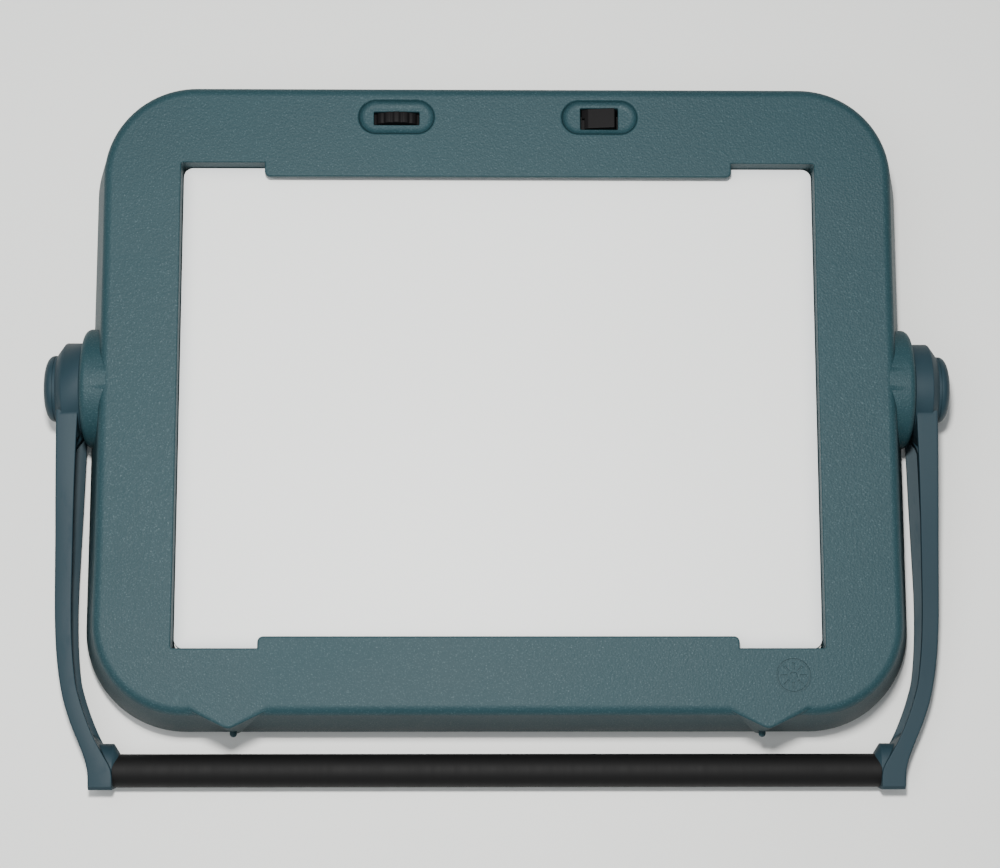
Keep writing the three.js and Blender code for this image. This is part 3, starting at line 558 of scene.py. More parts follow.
def grow(name, tree, sizes, seedPoints=((0, 0, 0),), place=Matrix.Identity(4)):
    # runs a pattern on some points and keeps the plain mesh
    data = bpy.data.meshes.new(name)
    data.from_pydata([[c / 1000 for c in point] for point in seedPoints], [], [])
    piece = newObject(name, data)
    pattern = piece.modifiers.new("pattern", "NODES")
    pattern.node_group = tree
    for item in tree.interface.items_tree:
        if item.in_out == "INPUT" and item.name in sizes:
            pattern[item.identifier] = sizes[item.name]
    settle(piece)
    piece.data.transform(place)
    return piece


def rayTree(finish):
    # thin bars set like the hours of a clock about Z
    size, add, close = patternTree("rays_" + finish, "Count", "Middle", "Length", "Width", "Height")
    bar = add("ShaderNodeCombineXYZ", X=size["Length"], Y=size["Width"], Z=size["Height"])
    ray = add("GeometryNodeMeshCube", Size=bar)
    circle = add("GeometryNodeMeshCircle", Vertices=size["Count"], Radius=size["Middle"])
    turn = add("FunctionNodeAlignEulerToVector", {"axis": "X"}, Vector=add("GeometryNodeInputPosition"))
    return close(add("GeometryNodeInstanceOnPoints", Points=circle, Instance=ray, Rotation=turn), finish)


def screwTree(finish):
    # a cross-recess screw on each point: head outwards along -Z, shank along +Z
    size, add, close = patternTree("screws_" + finish, "Head Radius", "Head Height", "Recess",
                                   "Shank Radius", "Shank Length")
    height, reach = size["Head Height"], size["Shank Length"]
    half = add("ShaderNodeMath", {"operation": "MULTIPLY"}, height, 0.5)
    body = add("GeometryNodeMeshCylinder", {"fill_type": "NGON"}, Vertices=24, Radius=size["Head Radius"],
               Depth=height)
    lift = add("ShaderNodeCombineXYZ", Z=half)
    recessed = add("GeometryNodeTransform", Geometry=body, Translation=lift)
    long, thin = size["Head Radius"], size["Recess"]
    for wide, deep in ((long, thin), (thin, long)):
        bar = add("GeometryNodeMeshCube", Size=add("ShaderNodeCombineXYZ", X=wide, Y=deep, Z=height))
        recessed = add("GeometryNodeMeshBoolean", {"operation": "DIFFERENCE"}, Mesh_1=recessed, Mesh_2=bar)
    rod = add("GeometryNodeMeshCylinder", {"fill_type": "NGON"}, Vertices=16, Radius=size["Shank Radius"],
              Depth=reach)
    middle = add("ShaderNodeMath", {"operation": "MULTIPLY_ADD"}, reach, 0.5, height)
    raised = add("ShaderNodeCombineXYZ", Z=middle)
    shank = add("GeometryNodeTransform", Geometry=rod, Translation=raised)
    whole = add("GeometryNodeJoinGeometry", Geometry=[recessed, shank])
    return close(add("GeometryNodeInstanceOnPoints", Points=size["Geometry"], Instance=whole), finish)


def ribTree(finish):
    # a row of equal ribs along X from the seed point
    size, add, close = patternTree("ribs_" + finish, "Count", "Pitch", "Length", "Width", "Height")
    step = add("ShaderNodeCombineXYZ", X=size["Pitch"])
    row = add("GeometryNodeMeshLine", Count=size["Count"], Offset=step)
    bar = add("ShaderNodeCombineXYZ", X=size["Width"], Y=size["Length"], Z=size["Height"])
    rib = add("GeometryNodeMeshCube", Size=bar)
    return close(add("GeometryNodeInstanceOnPoints", Points=row, Instance=rib), finish)


# housing

coverLow, coverHigh = boxOf("rear_cover")
shellLow, shellHigh = boxOf("front_housing")
panelLow, panelHigh = panelBox
wheelLow, wheelHigh = boxOf("dimmer_wheel")
rockerLow, rockerHigh = boxOf("switch_rocker")
swing = jointPlace["handle_swing"]

shell = {
    "discProud": 2.4,      # pivot disc beyond the widest line
    "top": shellHigh.z,
    "parting": 16,
    "seam": 0.15,          # half the gap between the two shells
    "draft": 0.139,
    "sideFlare": 1.6,
    "sideLean": 3.0,
    "fillet": 4.7,
    "corner": 46,
    "dip": 1.0,
    "wall": 2.5,
    "panelGap": 0.3,
    "rimDepth": 18,
    "rimRound": 0.8,
    "discRadius": 27,
    "discDepth": 12.2,
    "discRound": 3.0,
}
halfX = shellHigh.x - shell["discProud"]
halfY = (coverHigh.y - coverLow.y) / 2 + 0.02
midY = (coverHigh.y + coverLow.y) / 2
top = shell["top"]
bezelFoot = shell["parting"] + shell["seam"]
coverTop = shell["parting"] - shell["seam"]
filletFoot = top - shell["fillet"]
filletInset = (filletFoot - shell["parting"]) * shell["draft"]
openHalfX = panelHigh.x + shell["panelGap"]
openHalfY = (panelHigh.y - panelLow.y) / 2 + shell["panelGap"]
openMidY = (panelHigh.y + panelLow.y) / 2
rampStops = [midY + y for y in (86.3, 63.3, -71.6, -93.6)]  # where the side rails step down and up again


def dipAt(y):
    far, farFoot, nearFoot, near = rampStops
    down = min(max((far - y) / (far - farFoot), 0), 1)
    up = min(max((y - near) / (nearFoot - near), 0), 1)
    return shell["dip"] * min(down, up)


def bodyRing(inset, z):
    # the side walls lean in more than the near and far ones, from a slightly wider foot
    rise = min(max((z - shell["parting"]) / (filletFoot - shell["parting"]), 0), 1)
    sideways = inset - shell["sideFlare"] + rise * shell["sideLean"]
    ring = roundedRing(halfX - sideways, halfY - inset, shell["corner"] - inset, 24, (0, midY), rampStops)
    return [(x, y, z - rise * dipAt(y)) for x, y in ring]


def openingRing(wider, z):
    radius = shell["rimRound"] + wider
    ring = roundedRing(openHalfX + wider, openHalfY + wider, radius, 24, (0, openMidY), rampStops)
    weight = 1 if z > filletFoot else 0
    return [(x, y, z - weight * dipAt(y)) for x, y in ring]


def bezelShell():
    wall = shell["wall"]
    edgeShade = shell["rimRound"]
    rimFoot = top - shell["rimDepth"]
    rings = [bodyRing(0.5, bezelFoot), bodyRing(0.12, bezelFoot + 0.35)]
    rings += [bodyRing(filletInset + inset, z) for inset, z in rounding(shell["fillet"], top, 10)]
    rings += [openingRing(edgeShade * (1 - math.sin(a)), top - edgeShade * (1 - math.cos(a))) for a in quarterTurn(4)]
    rings += [openingRing(0, rimFoot), openingRing(wall, rimFoot), openingRing(wall, top - wall)]
    rings += [bodyRing(filletInset + shell["fillet"], top - wall), bodyRing(filletInset + wall, filletFoot),
              bodyRing(wall, bezelFoot)]
    return loft("front_bezel", rings, closed=True)


def pivotDisc(side, low, high):
    face = halfX + shell["discProud"]
    back = face - shell["discDepth"]
    edge = shell["discRound"]
    radius = shell["discRadius"]
    crest = arc((radius - edge, face - edge), edge, 0, 90, 8)
    profile = [(0, back), (radius, back)] + crest + [(0, face)]
    disc = lathe("disc", [(r, side * h) for r, h in profile], "x", swing[1:], steps=128)
    slab = block("slab", (-halfX - 9, swing[1] - 40, low), (halfX + 9, swing[1] + 40, high))
    return carve(disc, slab, operation="INTERSECT")


pivotSeat = {"bore": 4.3, "boreDepth": 14, "radius": 17.3, "depth": 8, "lead": 0.4}


def pivotPocket(side):
    # room for the detent ring, over the bore of the pivot pin
    face = halfX + shell["discProud"]
    bore, radius, lead = pivotSeat["bore"], pivotSeat["radius"], pivotSeat["lead"]
    end, floor = face - pivotSeat["boreDepth"], face - pivotSeat["depth"]
    profile = [(0, end), (bore, end), (bore, floor), (radius, floor), (radius, face - lead),
               (radius + lead, face + 0.01), (radius + lead, face + 1), (0, face + 1)]
    return lathe("pocket", [(r, side * h) for r, h in profile], "x", swing[1:], steps=64)


stand = {"half": 19.4, "reach": 0.7, "root": 8.9, "edge": 1.3, "tip": 1.7, "shoulder": 6, "hole": 1.9}
standX, nubZ = middleOf("right_stand_bumper")[::2]


def standFoot(x):
    # a V whose two faces meet in a small rounded nose
    def outline(inset):
        tip = midY - halfY - stand["reach"] + inset
        slope = math.atan2(stand["root"], stand["half"])
        half = stand["half"] - inset / math.tan(slope / 2 + 0.2)
        nose = [(x + stand["tip"] * math.sin(a) * 1.2, tip + stand["tip"] * (1 - math.cos(a)) * 0.55)
                for a in (math.radians(d) for d in range(-60, 61, 15))]
        wide = half + stand["shoulder"]
        back = midY - halfY + stand["root"] + stand["shoulder"]
        root = tip + stand["root"]
        return [(x - wide, back), (x - half, root)] + nose + [(x + half, root), (x + wide, back)]

    levels = [(0.4, bezelFoot), (0, bezelFoot + 0.4)] + rounding(stand["edge"], top)
    return loft("stand", [atHeight(outline(inset), z) for inset, z in levels])


lips = {"half": 105, "farReach": 6.4, "nearReach": 5.2, "thickness": 3, "corner": 2.5, "edge": 0.9,
        "root": 1.6}


def lip(far):
    # a shelf over the panel, with rounded free corners and a softened upper edge
    reach = lips["farReach"] if far else lips["nearReach"]
    inward = -1 if far else 1
    wallLine = openMidY + openHalfY if far else openMidY - openHalfY
    underside = top - lips["thickness"]
    rings = []
    for inset, z in [(0.3, underside), (0, underside + 0.3)] + rounding(lips["edge"], top):
        half = lips["half"] - inset
        free = wallLine + inward * (reach - inset)
        radius = lips["corner"] - inset
        corner = [(half - radius + radius * math.cos(a), free - inward * (radius - radius * math.sin(a)))
                  for a in quarterTurn(8)]
        behind = wallLine - inward * lips["root"]
        outline = [(half, behind)] + corner + [(-x, y) for x, y in reversed(corner)] + [(-half, behind)]
        rings.append(atHeight(outline, z))
    return loft("lip", rings)


controls = {"length": 34, "width": 15.5, "depth": 2.6, "cove": 3.3, "flare": 0.9, "pad": 2.3,
            "padWider": 1.5, "wheelSlot": 20.6, "wheelGap": 1, "rockerSlot": 17.1, "rockerGap": 0.9, "well": 14.5}
wheelX, controlY = middleOf("dimmer_wheel")[:2]
wheelZ = jointPlace["dimmer_turn"][2]
rockerX = middleOf("switch_rocker")[0]


def stadium(x, inset, z):
    long, wide = controls["length"] / 2 - inset, controls["width"] / 2 - inset
    return atHeight(roundedRing(long, wide, wide, 14, (x, controlY)), z)


def controlPad(x):
    wider = -controls["padWider"]
    under = top - controls["depth"] - controls["pad"]
    return loft("pad", [stadium(x, wider, under), stadium(x, wider, top - 1.2)])


def controlDish(x):
    # a scoop: steep at the brim, curving into a flat floor
    flare = controls["flare"]
    rings = [stadium(x, controls["cove"] * (1 - math.sin(a)), top - controls["depth"] * math.cos(a))
             for a in quarterTurn(9)[:-1]]
    rings += [stadium(x, -inset, z) for inset, z in rounding(flare, top)]
    rings.append(stadium(x, -flare, top + 2))
    return loft("dish", rings)


def controlSlot(x, length, width):
    floor = top - controls["depth"]
    rings = [atHeight(roundedRing(length / 2 + wider, width / 2 + wider, 0.5 + wider, 4, (x, controlY)), z)
             for wider, z in ((0, floor - 5), (0, floor - 0.25), (0.25, floor), (0.25, floor + 1))]
    return loft("slot", rings)


emblem = {"x": 128, "y": -124.5, "outer": 7.6, "inner": 6.7, "deep": 0.7, "dot": 1.7, "flare": 0.1}
sunRays = {"Count": 8, "Middle": 0.0042, "Length": 0.0030, "Width": 0.0011, "Height": 0.0016}


def emblemTools():
    x, y = emblem["x"], midY + emblem["y"]
    low, high = top - emblem["deep"], top + 1
    inner, outer, dot, flare = (emblem[key] for key in ("inner", "outer", "dot", "flare"))
    ring = [(inner, low), (outer, low), (outer + flare, high), (inner - flare, high), (inner, low)]
    rays = grow("sun_rays", rayTree("stencil"), sunRays,
                place=Matrix.Translation((x / 1000, y / 1000, (low + 0.8) / 1000)))
    spot = [(0, low), (dot, low), (dot + flare, high), (0, high)]
    return [lathe("ring", ring, "z", (x, y), steps=72), lathe("dot", spot, "z", (x, y), steps=32), rays]


inlet = {"bore": 4.9, "mouth": 5.4, "depth": 8, "chamfer": 3}


def frontBezel():
    bezel = bezelShell()
    for side in (1, -1):
        weld(bezel, pivotDisc(side, bezelFoot, top - shell["dip"]))
        weld(bezel, standFoot(side * standX))
    weld(bezel, lip(True), lip(False), controlPad(wheelX), controlPad(rockerX))
    carve(bezel, controlDish(wheelX), controlDish(rockerX))
    wheelRoom = wheelHigh.y - wheelLow.y + controls["wheelGap"]
    rockerRoom = rockerHigh.y - rockerLow.y + controls["rockerGap"]
    carve(bezel, controlSlot(wheelX, controls["wheelSlot"], wheelRoom))
    carve(bezel, controlSlot(rockerX, controls["rockerSlot"], rockerRoom))
    carve(bezel, plug("well", controls["well"], wheelLow.y - 0.5, wheelHigh.y + 0.5, "y", (wheelX, wheelZ),
                      steps=48))
    tip = midY - halfY - stand["reach"]
    for side in (1, -1):
        carve(bezel, pivotPocket(side))
        carve(bezel, plug("hole", stand["hole"], tip - 2, tip + 4, "y", (side * standX, nubZ), steps=24))
    wall = midY + halfY
    end = wall - inlet["depth"]
    bore = [(0, end), (inlet["bore"], end), (inlet["bore"], wall - inlet["chamfer"]),
            (inlet["mouth"], wall + 2), (0, wall + 2)]
    carve(bezel, lathe("bore", bore, "y", middleOf("power_inlet")[::2], steps=40))
    carve(bezel, *emblemTools())
    return attach(polish(bezel), "housing", "bezel_teal", "front_housing")


frontBezel()
print("bezel made")


cover = {"underside": 2, "tuck": 5.5, "round": 2.2, "floor": 4.5}
coverSeats = {"rubber_foot": (9.3, 1.0), "housing_screw": (3.7, 1.6)}  # radius and depth
doorLow, doorHigh = boxOf("battery_door")


def rearCover():
    # the tray that closes the back: tucked edge, door opening, foot seats and screw wells
    base, edge = cover["underside"], cover["round"]
    rings = [bodyRing(cover["tuck"] - edge * math.sin(a), base + edge * (1 - math.cos(a)))
             for a in quarterTurn(6)]
    rings += [bodyRing(0.06, coverTop - 0.45), bodyRing(0.45, coverTop), bodyRing(shell["wall"], coverTop),
              bodyRing(shell["wall"] + 3, cover["floor"])]
    tray = loft("rear_shell", rings)
    for side in (1, -1):
        weld(tray, pivotDisc(side, base, coverTop))
        carve(tray, pivotPocket(side))
    carve(tray, block("door_hole", (doorLow.x - 0.3, doorLow.y - 0.3, base - 1),
                      (doorHigh.x + 0.3, doorHigh.y + 0.3, cover["floor"] + 1)))
    for node in frame["nodes"]:
        for start, (radius, depth) in coverSeats.items():
            if node.startswith(start):
                carve(tray, plug("seat", radius, base - 1, base + depth, "z", middleOf(node)[:2]))
    return attach(polish(tray), "housing", "cover_teal", "rear_cover")


rearCover()
print("rear cover made")


# lit panel

def litPanel():
    halfWide = (panelHigh.x - panelLow.x) / 2
    halfLong = (panelHigh.y - panelLow.y) / 2
    corner = 4.4
    under, face = panelLow.z, panelHigh.z
    levels = ((0.3, under), (0, under + 0.3), (0, face - 0.35), (0.1, face - 0.1), (0.35, face))
    rings = [atHeight(roundedRing(halfWide - inset, halfLong - inset, corner - inset, 12, (0, openMidY)), z)
             for inset, z in levels]
    return attach(polish(loft("opal_panel", rings, "panel")), "housing", "opal_acrylic", "diffuser_panel")


litPanel()


# controls

wheel = {"lobes": 21, "lobeDepth": 0.55, "bore": 2.8, "edge": 0.45, "inside": 0.02}


def dimmerWheel():
    radius = (wheelHigh.x - wheelLow.x) / 2
    steps = wheel["lobes"] * 12
    edge = wheel["edge"]
    rings = []
    near, far = wheelLow.y, wheelHigh.y
    for inset, y in ((edge, near), (0, near + edge), (0, far - edge), (edge, far)):
        ring = []
        for i in range(steps):
            turn = 2 * math.pi * i / steps
            dent = (0.5 - 0.5 * math.cos(turn * wheel["lobes"])) ** 3
            r = radius - wheel["inside"] - inset - wheel["lobeDepth"] * dent
            ring.append((wheelX - r * math.sin(turn), y, wheelZ + r * math.cos(turn)))
        rings.append(ring)
    disc = loft("dimmer_thumbwheel", rings, "control")
    carve(disc, plug("bore", wheel["bore"], near - 1, far + 1, "y", (wheelX, wheelZ), "control", 32))
    return attach(polish(disc, 50), "dimmer", "control_black", "dimmer_wheel")


rocker = {"length": 15.2, "bend": 2.9, "tilt": 8, "notch": 0.9, "notchShare": 0.55}


def switchRocker():
    # a tilted block: its left end slopes away, with a notch at the near corner of the slope
    length, width = rocker["length"], rockerHigh.y - rockerLow.y
    pivot = jointPlace["power_rock"]
    end, side = length / 2, width / 2
    slope = [(-end, -3), (2.5 - end, -6), (end - 2.5, -6), (end, -3), (end, 5.2), (end - 0.25, 5.6),
             (end - 0.7, 5.75), (rocker["bend"] - end + 0.5, 5.75), (rocker["bend"] - end, 5.6),
             (0.3 - end, 4.3), (-end, 3.9)]
    tilt = math.radians(rocker["tilt"])
    rings = []
    for inset, y in ((0.35, -side), (0.1, -side + 0.12), (0, -side + 0.4),
                     (0, side - 0.4), (0.1, side - 0.12), (0.35, side)):
        ring = []
        for x, z in slope:
            away = Vector((x, z)).normalized() * inset
            px, pz = x - away.x, z - away.y
            ring.append((pivot[0] + px * math.cos(tilt) - pz * math.sin(tilt), pivot[1] + y,
                         pivot[2] + px * math.sin(tilt) + pz * math.cos(tilt)))
        rings.append(ring)
    body = loft("power_rocker", rings, "control")
    notch = rocker["notch"]
    near = pivot[1] - side
    left = pivot[0] - end
    carve(body, block("notch", (left - 2, near - 1, pivot[2] + 1),
                      (left + notch, near + rocker["notchShare"] * width, pivot[2] + 9), "control"))
    return attach(polish(body, 30), "power_switch", "control_black", "switch_rocker")


dimmerWheel()
switchRocker()
print("controls made")


# handle

gripLow, gripHigh = boxOf("grip_tube")
barY, barZ = middleOf("grip_tube")[1:]
armLength = math.hypot(swing[1] - barY, swing[2] - barZ)
droop = math.atan2(swing[2] - barZ, swing[1] - barY)
hubFace = halfX + shell["discProud"] + 0.5
arm = {
    # across and half-height, each at its distance from the pivot
    "outer": [(0, 197.4), (60, 197.5), (98, 197.9), (115, 197.4), (128, 196.2), (140, 194.0), (151, 190.4),
              (160, 186.6), (166, 184.3), (172, 182.9), (182, 182.7)],
    "inner": [(0, 187.2), (30, 188.5), (52, 189.2), (76, 189.9), (98, 190.4), (116, 190.0), (132, 188.5),
              (139, 186.8), (148, 183.8), (157, 180.0), (164, 176.2), (171, 172.4), (180, 171.9)],
    "half": [(0, 17.0), (30, 16.6), (52, 15.5), (79, 12.7), (96, 11.15), (114, 10.2), (132, 9.2),
             (150, 8.9), (182, 8.9)],
    "flange": 2.0,
    "channel": 4.9,
    "deepens": (21, 6),    # where the channel starts past the pivot, and over what length
    "fades": (13, 7),      # where it ends before the bar
    "rib": 0.55,
    "ribPlace": 0.36,      # share of the half-height
    "ribFloor": 0.8,       # share of the channel's depth
    "round": 0.9,
    "innerRound": 0.5,
    "start": 10.7,
    "stations": 66,
    "end": 8.0,            # past the bar's centre
    "heel": 1.5,           # bevel of that end
}
hub = {"radius": 20.7, "width": 11.9, "chamferIn": 3.6, "chamferDown": 5.0, "pocket": 15.3, "floor": 3.3,
       "pin": 4.4, "legHole": 1.9, "legRing": 11}
legPlaces = [(swing[1] + hub["legRing"] * math.cos(a), swing[2] + hub["legRing"] * math.sin(a))
             for a in (2 * math.pi * i / 3 for i in range(3))]
collar = {"along": 10.2, "up": 7.4, "width": 2.5, "ahead": 1.9, "taper": 3.9}  # set a little up the arm
barEnd = {"core": 5.3, "coreDepth": 4.7, "well": 4.7, "mouth": 5.0, "shank": 2.3}


def armPoint(along, x, up):
    # along runs from the pivot to the bar, up stands square to it
    return (x, swing[1] - along * math.cos(droop) - up * math.sin(droop),
            swing[2] - along * math.sin(droop) + up * math.cos(droop))


def armSection(along):
    outer, inner, half = (between(arm[key], along) for key in ("outer", "inner", "half"))
    (start, rise), (stop, fall) = arm["deepens"], arm["fades"]
    fade = min(max((along - start) / rise, 0), 1) * min(max((armLength - stop - along) / fall, 0), 1)
    heel = arm["end"] + armLength - along
    if heel < arm["heel"]:
        half -= arm["heel"] - heel
    deep = arm["channel"] * fade
    soft, fine = arm["round"], arm["innerRound"]
    points = arc((outer - soft, half - soft), soft, 0, 90)
    points += [(inner + fine - fine * math.sin(a), half - fine + fine * math.cos(a))
               for a in quarterTurn(4)]
    brim = half - arm["flange"]
    rib, ribAt, crest = arm["rib"], half * arm["ribPlace"], inner + deep * arm["ribFloor"]
    points += [(inner, brim + 0.2), (inner + min(deep, 0.3), brim), (inner + deep, brim - 0.5)]
    points += [(inner + deep, ribAt + rib * 1.3), (crest, ribAt + rib * 0.7), (crest, ribAt - rib * 0.7),
               (inner + deep, ribAt - rib * 1.3)]
    lower = [(x, -z) for x, z in reversed(points)]
    return [armPoint(along, x, z) for x, z in points + lower]


def collarRing(inset, x):
    ring = []
    for i in range(64):
        angle = 2 * math.pi * i / 64
        along = armLength - collar["ahead"] + (collar["along"] - inset) * math.cos(angle)
        ring.append(armPoint(along, x, (collar["up"] - inset * 0.5) * math.sin(angle)))
    return ring


def armShape(name):
    count, first, last = arm["stations"], arm["start"], armLength + arm["end"]
    stations = [first + (last - arm["heel"] - first) * i / count for i in range(count + 1)]
    stations += [last - arm["heel"] / 2, last]
    strip = loft(name, [armSection(at) for at in stations], "handle")
    end = armPoint(armLength, 0, 0)[1:]
    outerEnd = between(arm["outer"], armLength)
    innerEnd = between(arm["inner"], armLength)
    outer = hubFace + hub["width"]
    down, across = hub["chamferDown"], hub["chamferIn"]
    drum = [(0, hubFace), (hub["radius"] - 0.5, hubFace), (hub["radius"], hubFace + 0.5),
            (hub["radius"], outer - across - 0.4), (hub["radius"] - 0.35, outer - across + 0.2),
            (hub["radius"] - down + 0.5, outer - 0.35), (hub["radius"] - down - 0.5, outer), (0, outer)]
    face = innerEnd - collar["width"]
    cone = [collarRing(collar["taper"], face), collarRing(0.2, innerEnd - 0.15),
            collarRing(0, innerEnd + 0.1), collarRing(0, innerEnd + 6.4)]
    seat = (gripHigh.z - gripLow.z) / 2 + 0.05
    weld(strip, lathe("drum", drum, "x", swing[1:], "handle", 128))
    weld(strip, loft("cone", cone, "handle"))
    carve(strip, plug("sleeve_seat", seat, face - 1, innerEnd - 0.02, "x", end, "handle", 72))
    floor = hubFace + hub["floor"]
    room = hub["pocket"]
    pocket = [(0, floor), (room, floor), (room, outer - 0.3), (room + 0.3, outer), (room + 0.4, outer + 4),
              (0, outer + 4)]
    carve(strip, lathe("pocket", pocket, "x", swing[1:], "handle", 96))
    carve(strip, plug("pin", hub["pin"], hubFace - 2, floor + 1, "x", swing[1:], "handle"))
    for place in legPlaces:
        carve(strip, plug("leg_hole", hub["legHole"], hubFace - 2, floor + 1, "x", place, "handle", 20))
    well, mouth = barEnd["well"], barEnd["mouth"]
    screwWell = [(0, outerEnd - 2), (well, outerEnd - 2), (well, outerEnd - 0.3), (mouth, outerEnd + 0.2),
                 (mouth, outerEnd + 2), (0, outerEnd + 2)]
    carve(strip, plug("bore", barEnd["core"], face - 1, innerEnd + barEnd["coreDepth"], "x", end, "handle"),
          lathe("screw_well", screwWell, "x", end, "handle", 40),
          plug("shank", barEnd["shank"], innerEnd, outerEnd + 1, "x", end, "handle", 24))
    return polish(strip, 38)


rightArm = armShape("right_handle_arm")
leftArm = mirrorPiece(rightArm, "left_handle_arm")
attach(rightArm, "handle", "handle_teal", "right_arm")
attach(leftArm, "handle", "handle_teal", "left_arm")
print("arms made")


capShape = {"radius": 15, "wall": 2.2, "grooveAt": 0.9, "groove": 0.35, "straight": 1.8, "fullness": 0.5,
            "leg": 1.5}


def releaseButton(side):
    # straight skirt, a fine groove near its foot, then a low dome
    node = "right_release_button" if side > 0 else "left_release_button"
    low, high = boxOf(node)
    crown = high.x if side > 0 else -low.x
    hubTop = hubFace + hub["width"]
    skirt = hubFace + hub["floor"] + 3.3
    radius = capShape["radius"]
    groove = hubTop + capShape["grooveAt"]
    domeFoot = hubTop + capShape["straight"]
    cut, inside, thick = capShape["groove"], radius - capShape["wall"], capShape["leg"]
    profile = [(inside, skirt), (radius, skirt), (radius, groove), (radius - cut, groove + 0.1),
               (radius - cut, groove + 0.35), (radius, groove + 0.45), (radius, domeFoot)]
    profile += [(radius * math.cos(a) ** capShape["fullness"], domeFoot + (crown - domeFoot) * math.sin(a))
                for a in quarterTurn(12)[1:-1]]
    profile += [(0, crown), (0, crown - 2.2), (radius - 4.4, crown - 2.4), (inside, crown - 4.6),
                (inside, skirt)]
    cap = lathe(node.replace("release_", "") + "_cap", [(r, side * h) for r, h in profile], "x", swing[1:],
                "handle", 96)
    tip = hubFace - 2.3
    leg = [(0, tip), (thick - 0.2, tip), (thick, tip + 0.3), (thick, crown - 2.0), (0, crown - 2.0)]
    for place in legPlaces:
        weld(cap, lathe("leg", [(r, side * h) for r, h in leg], "x", place, "handle", 20))
    return attach(polish(cap, 30), "right_button" if side > 0 else "left_button", "handle_teal", node)


releaseButton(1)
releaseButton(-1)


sleeve = {"wall": 2.2, "edge": 0.25, "slack": 0.04}


def gripSleeve():
    radius = (gripHigh.z - gripLow.z) / 2
    half = between(arm["inner"], armLength) - sleeve["slack"]
    bore = radius - sleeve["wall"]
    edge = sleeve["edge"]
    brim = arc((radius - edge, half - edge), edge, 0, 90, 4)
    profile = [(bore, -half)] + [(r, -h) for r, h in reversed(brim)] + brim + [(bore, half), (bore, -half)]
    tube = lathe("grip_sleeve", profile, "x", (barY, barZ), "grip", 72)
    return attach(polish(tube), "handle", "grip_black", "grip_tube")


gripSleeve()
print("handle made")


# feet, bumpers, door and screws

pad = {"edge": 0.9, "dimple": 3.2, "dimpleDepth": 0.5}


def rubberFoot(node):
    low, high = boxOf(node)
    radius = (high.x - low.x) / 2
    edge, dimple, deep = pad["edge"], pad["dimple"], pad["dimpleDepth"]
    profile = [(0, low.z + deep), (dimple, low.z + deep), (dimple + 0.5, low.z)]
    profile += [(r, low.z + edge - h) for r, h in reversed(arc((radius - edge, 0), edge, 0, 90, 5))]
    profile += [(radius, high.z - 0.2), (radius - 0.2, high.z), (0, high.z)]
    foot = lathe(node + "_pad", profile, "z", middleOf(node)[:2], "rubber", 48)
    return attach(polish(foot), "housing", "black_rubber", node)


def standBumper(node):
    low, high = boxOf(node)
    radius = (high.z - low.z) / 2
    profile = [(0, low.y)] + [(r, low.y + radius - h) for r, h in reversed(arc((0, 0), radius, 0, 82, 7))]
    profile += [(radius, high.y), (0, high.y)]
    nub = lathe(node + "_nub", profile, "y", middleOf(node)[::2], "bezel", 28)
    return attach(polish(nub), "housing", "bezel_teal", node)


hatch = {"corner": 0.8, "edge": 0.4, "well": 3.3, "wellDepth": 1.2, "shank": 1.5, "grooveFrom": 8}
fingerGrooves = {"Count": 6, "Pitch": 0.0032, "Length": 0.030, "Width": 0.0012, "Height": 0.0012}


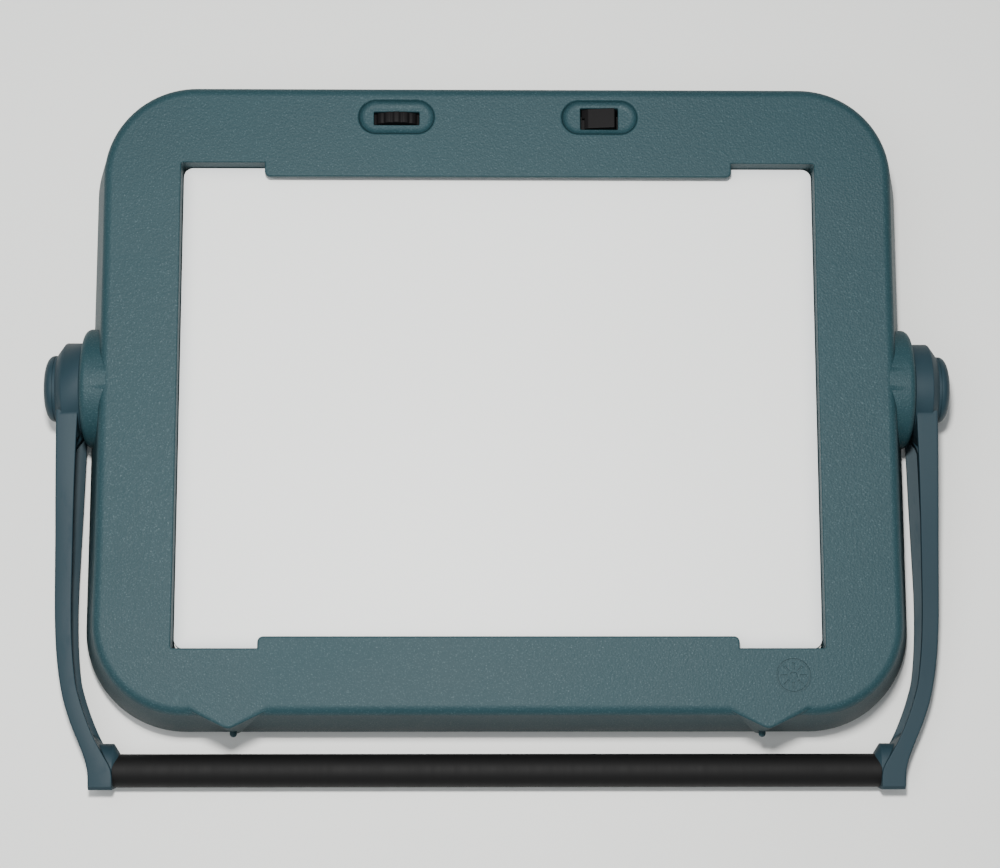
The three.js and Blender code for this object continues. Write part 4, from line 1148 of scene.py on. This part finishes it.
def batteryDoor():
    halfWide, halfLong = (doorHigh.x - doorLow.x) / 2, (doorHigh.y - doorLow.y) / 2
    edge, bore, shank, under = hatch["edge"], hatch["well"], hatch["shank"], doorLow.z
    rings = [atHeight(roundedRing(halfWide - inset, halfLong - inset, hatch["corner"], 4), z)
             for inset, z in ((edge, under), (0, under + edge), (0, doorHigh.z))]
    door = loft("battery_hatch", rings, "cover")
    seat = under + hatch["wellDepth"]
    well = [(0, under - 1), (bore, under - 1), (bore, seat), (shank, seat), (shank, doorHigh.z + 1),
            (0, doorHigh.z + 1)]
    carve(door, lathe("well", well, "z", middleOf("battery_door_screw")[:2], "cover", 40))
    place = Matrix.Translation(((doorLow.x + hatch["grooveFrom"]) / 1000, 0, under / 1000))
    carve(door, grow("finger_grooves", ribTree("cover"), fingerGrooves, place=place))
    return attach(polish(door), "housing", "cover_teal", "battery_door")


screw = {"head": 1.6, "recess": 0.75, "shank": 1.4}
crossHead = screwTree("steel")


def screwSet(name, body, nodes, axis=2, outwards=-1):
    # one mesh for all the screws of a kind, each where its node lies
    turn = {2: Matrix.Identity(4), 0: Matrix.Rotation(math.radians(-90 * outwards), 4, "Y")}[axis]
    spots = []
    for node in nodes:
        low, high = boxOf(node)
        spot = (low + high) / 2
        spot[axis] = high[axis] if outwards > 0 else low[axis]
        spots.append(turn.inverted() @ spot)
    across = high[1] - low[1]
    length = high[axis] - low[axis]
    sizes = {"Head Radius": across / 2000, "Head Height": screw["head"] / 1000,
             "Recess": screw["recess"] / 1000, "Shank Radius": screw["shank"] / 1000,
             "Shank Length": (length - screw["head"]) / 1000}
    piece = grow(name, crossHead, sizes, spots, turn)
    return attach(polish(piece), body, "steel", *nodes)


housingScrews = sorted(name for name in frame["nodes"] if name.startswith("housing_screw"))
screwSet("housing_screw_set", "housing", housingScrews)
screwSet("door_screw", "housing", ["battery_door_screw"])
screwSet("right_grip_bolt", "handle", ["right_grip_screw"], 0, 1)
screwSet("left_grip_bolt", "handle", ["left_grip_screw"], 0, -1)
print("screws made")

for nodeName in list(frame["nodes"]):
    if nodeName.startswith("rubber_foot"):
        rubberFoot(nodeName)
    if nodeName.endswith("stand_bumper"):
        standBumper(nodeName)
batteryDoor()
print("feet and door made")


# pieces kept as they come, and the table

dressing = {
    "panel_frame": "white", "reflector_tray": "white", "led_strip": "strip", "control_board": "board",
    "dimmer_body": "fitting", "switch_body": "fitting", "battery_pack": "wrap", "power_inlet": "fitting",
    "detent_ring": "fitting", "pivot_pin": "steel", "return_spring": "steel", "grip_core": "steel",
}
for nodeName, node in frame["nodes"].items():
    for part, finishName in dressing.items():
        if part in nodeName:
            node.data.materials.clear()
            node.data.materials.append(finishes[finishName])

table = block("table_top", (-2500, -2500, -6), (2500, 2500, -0.05), "table")

print("scene ready")
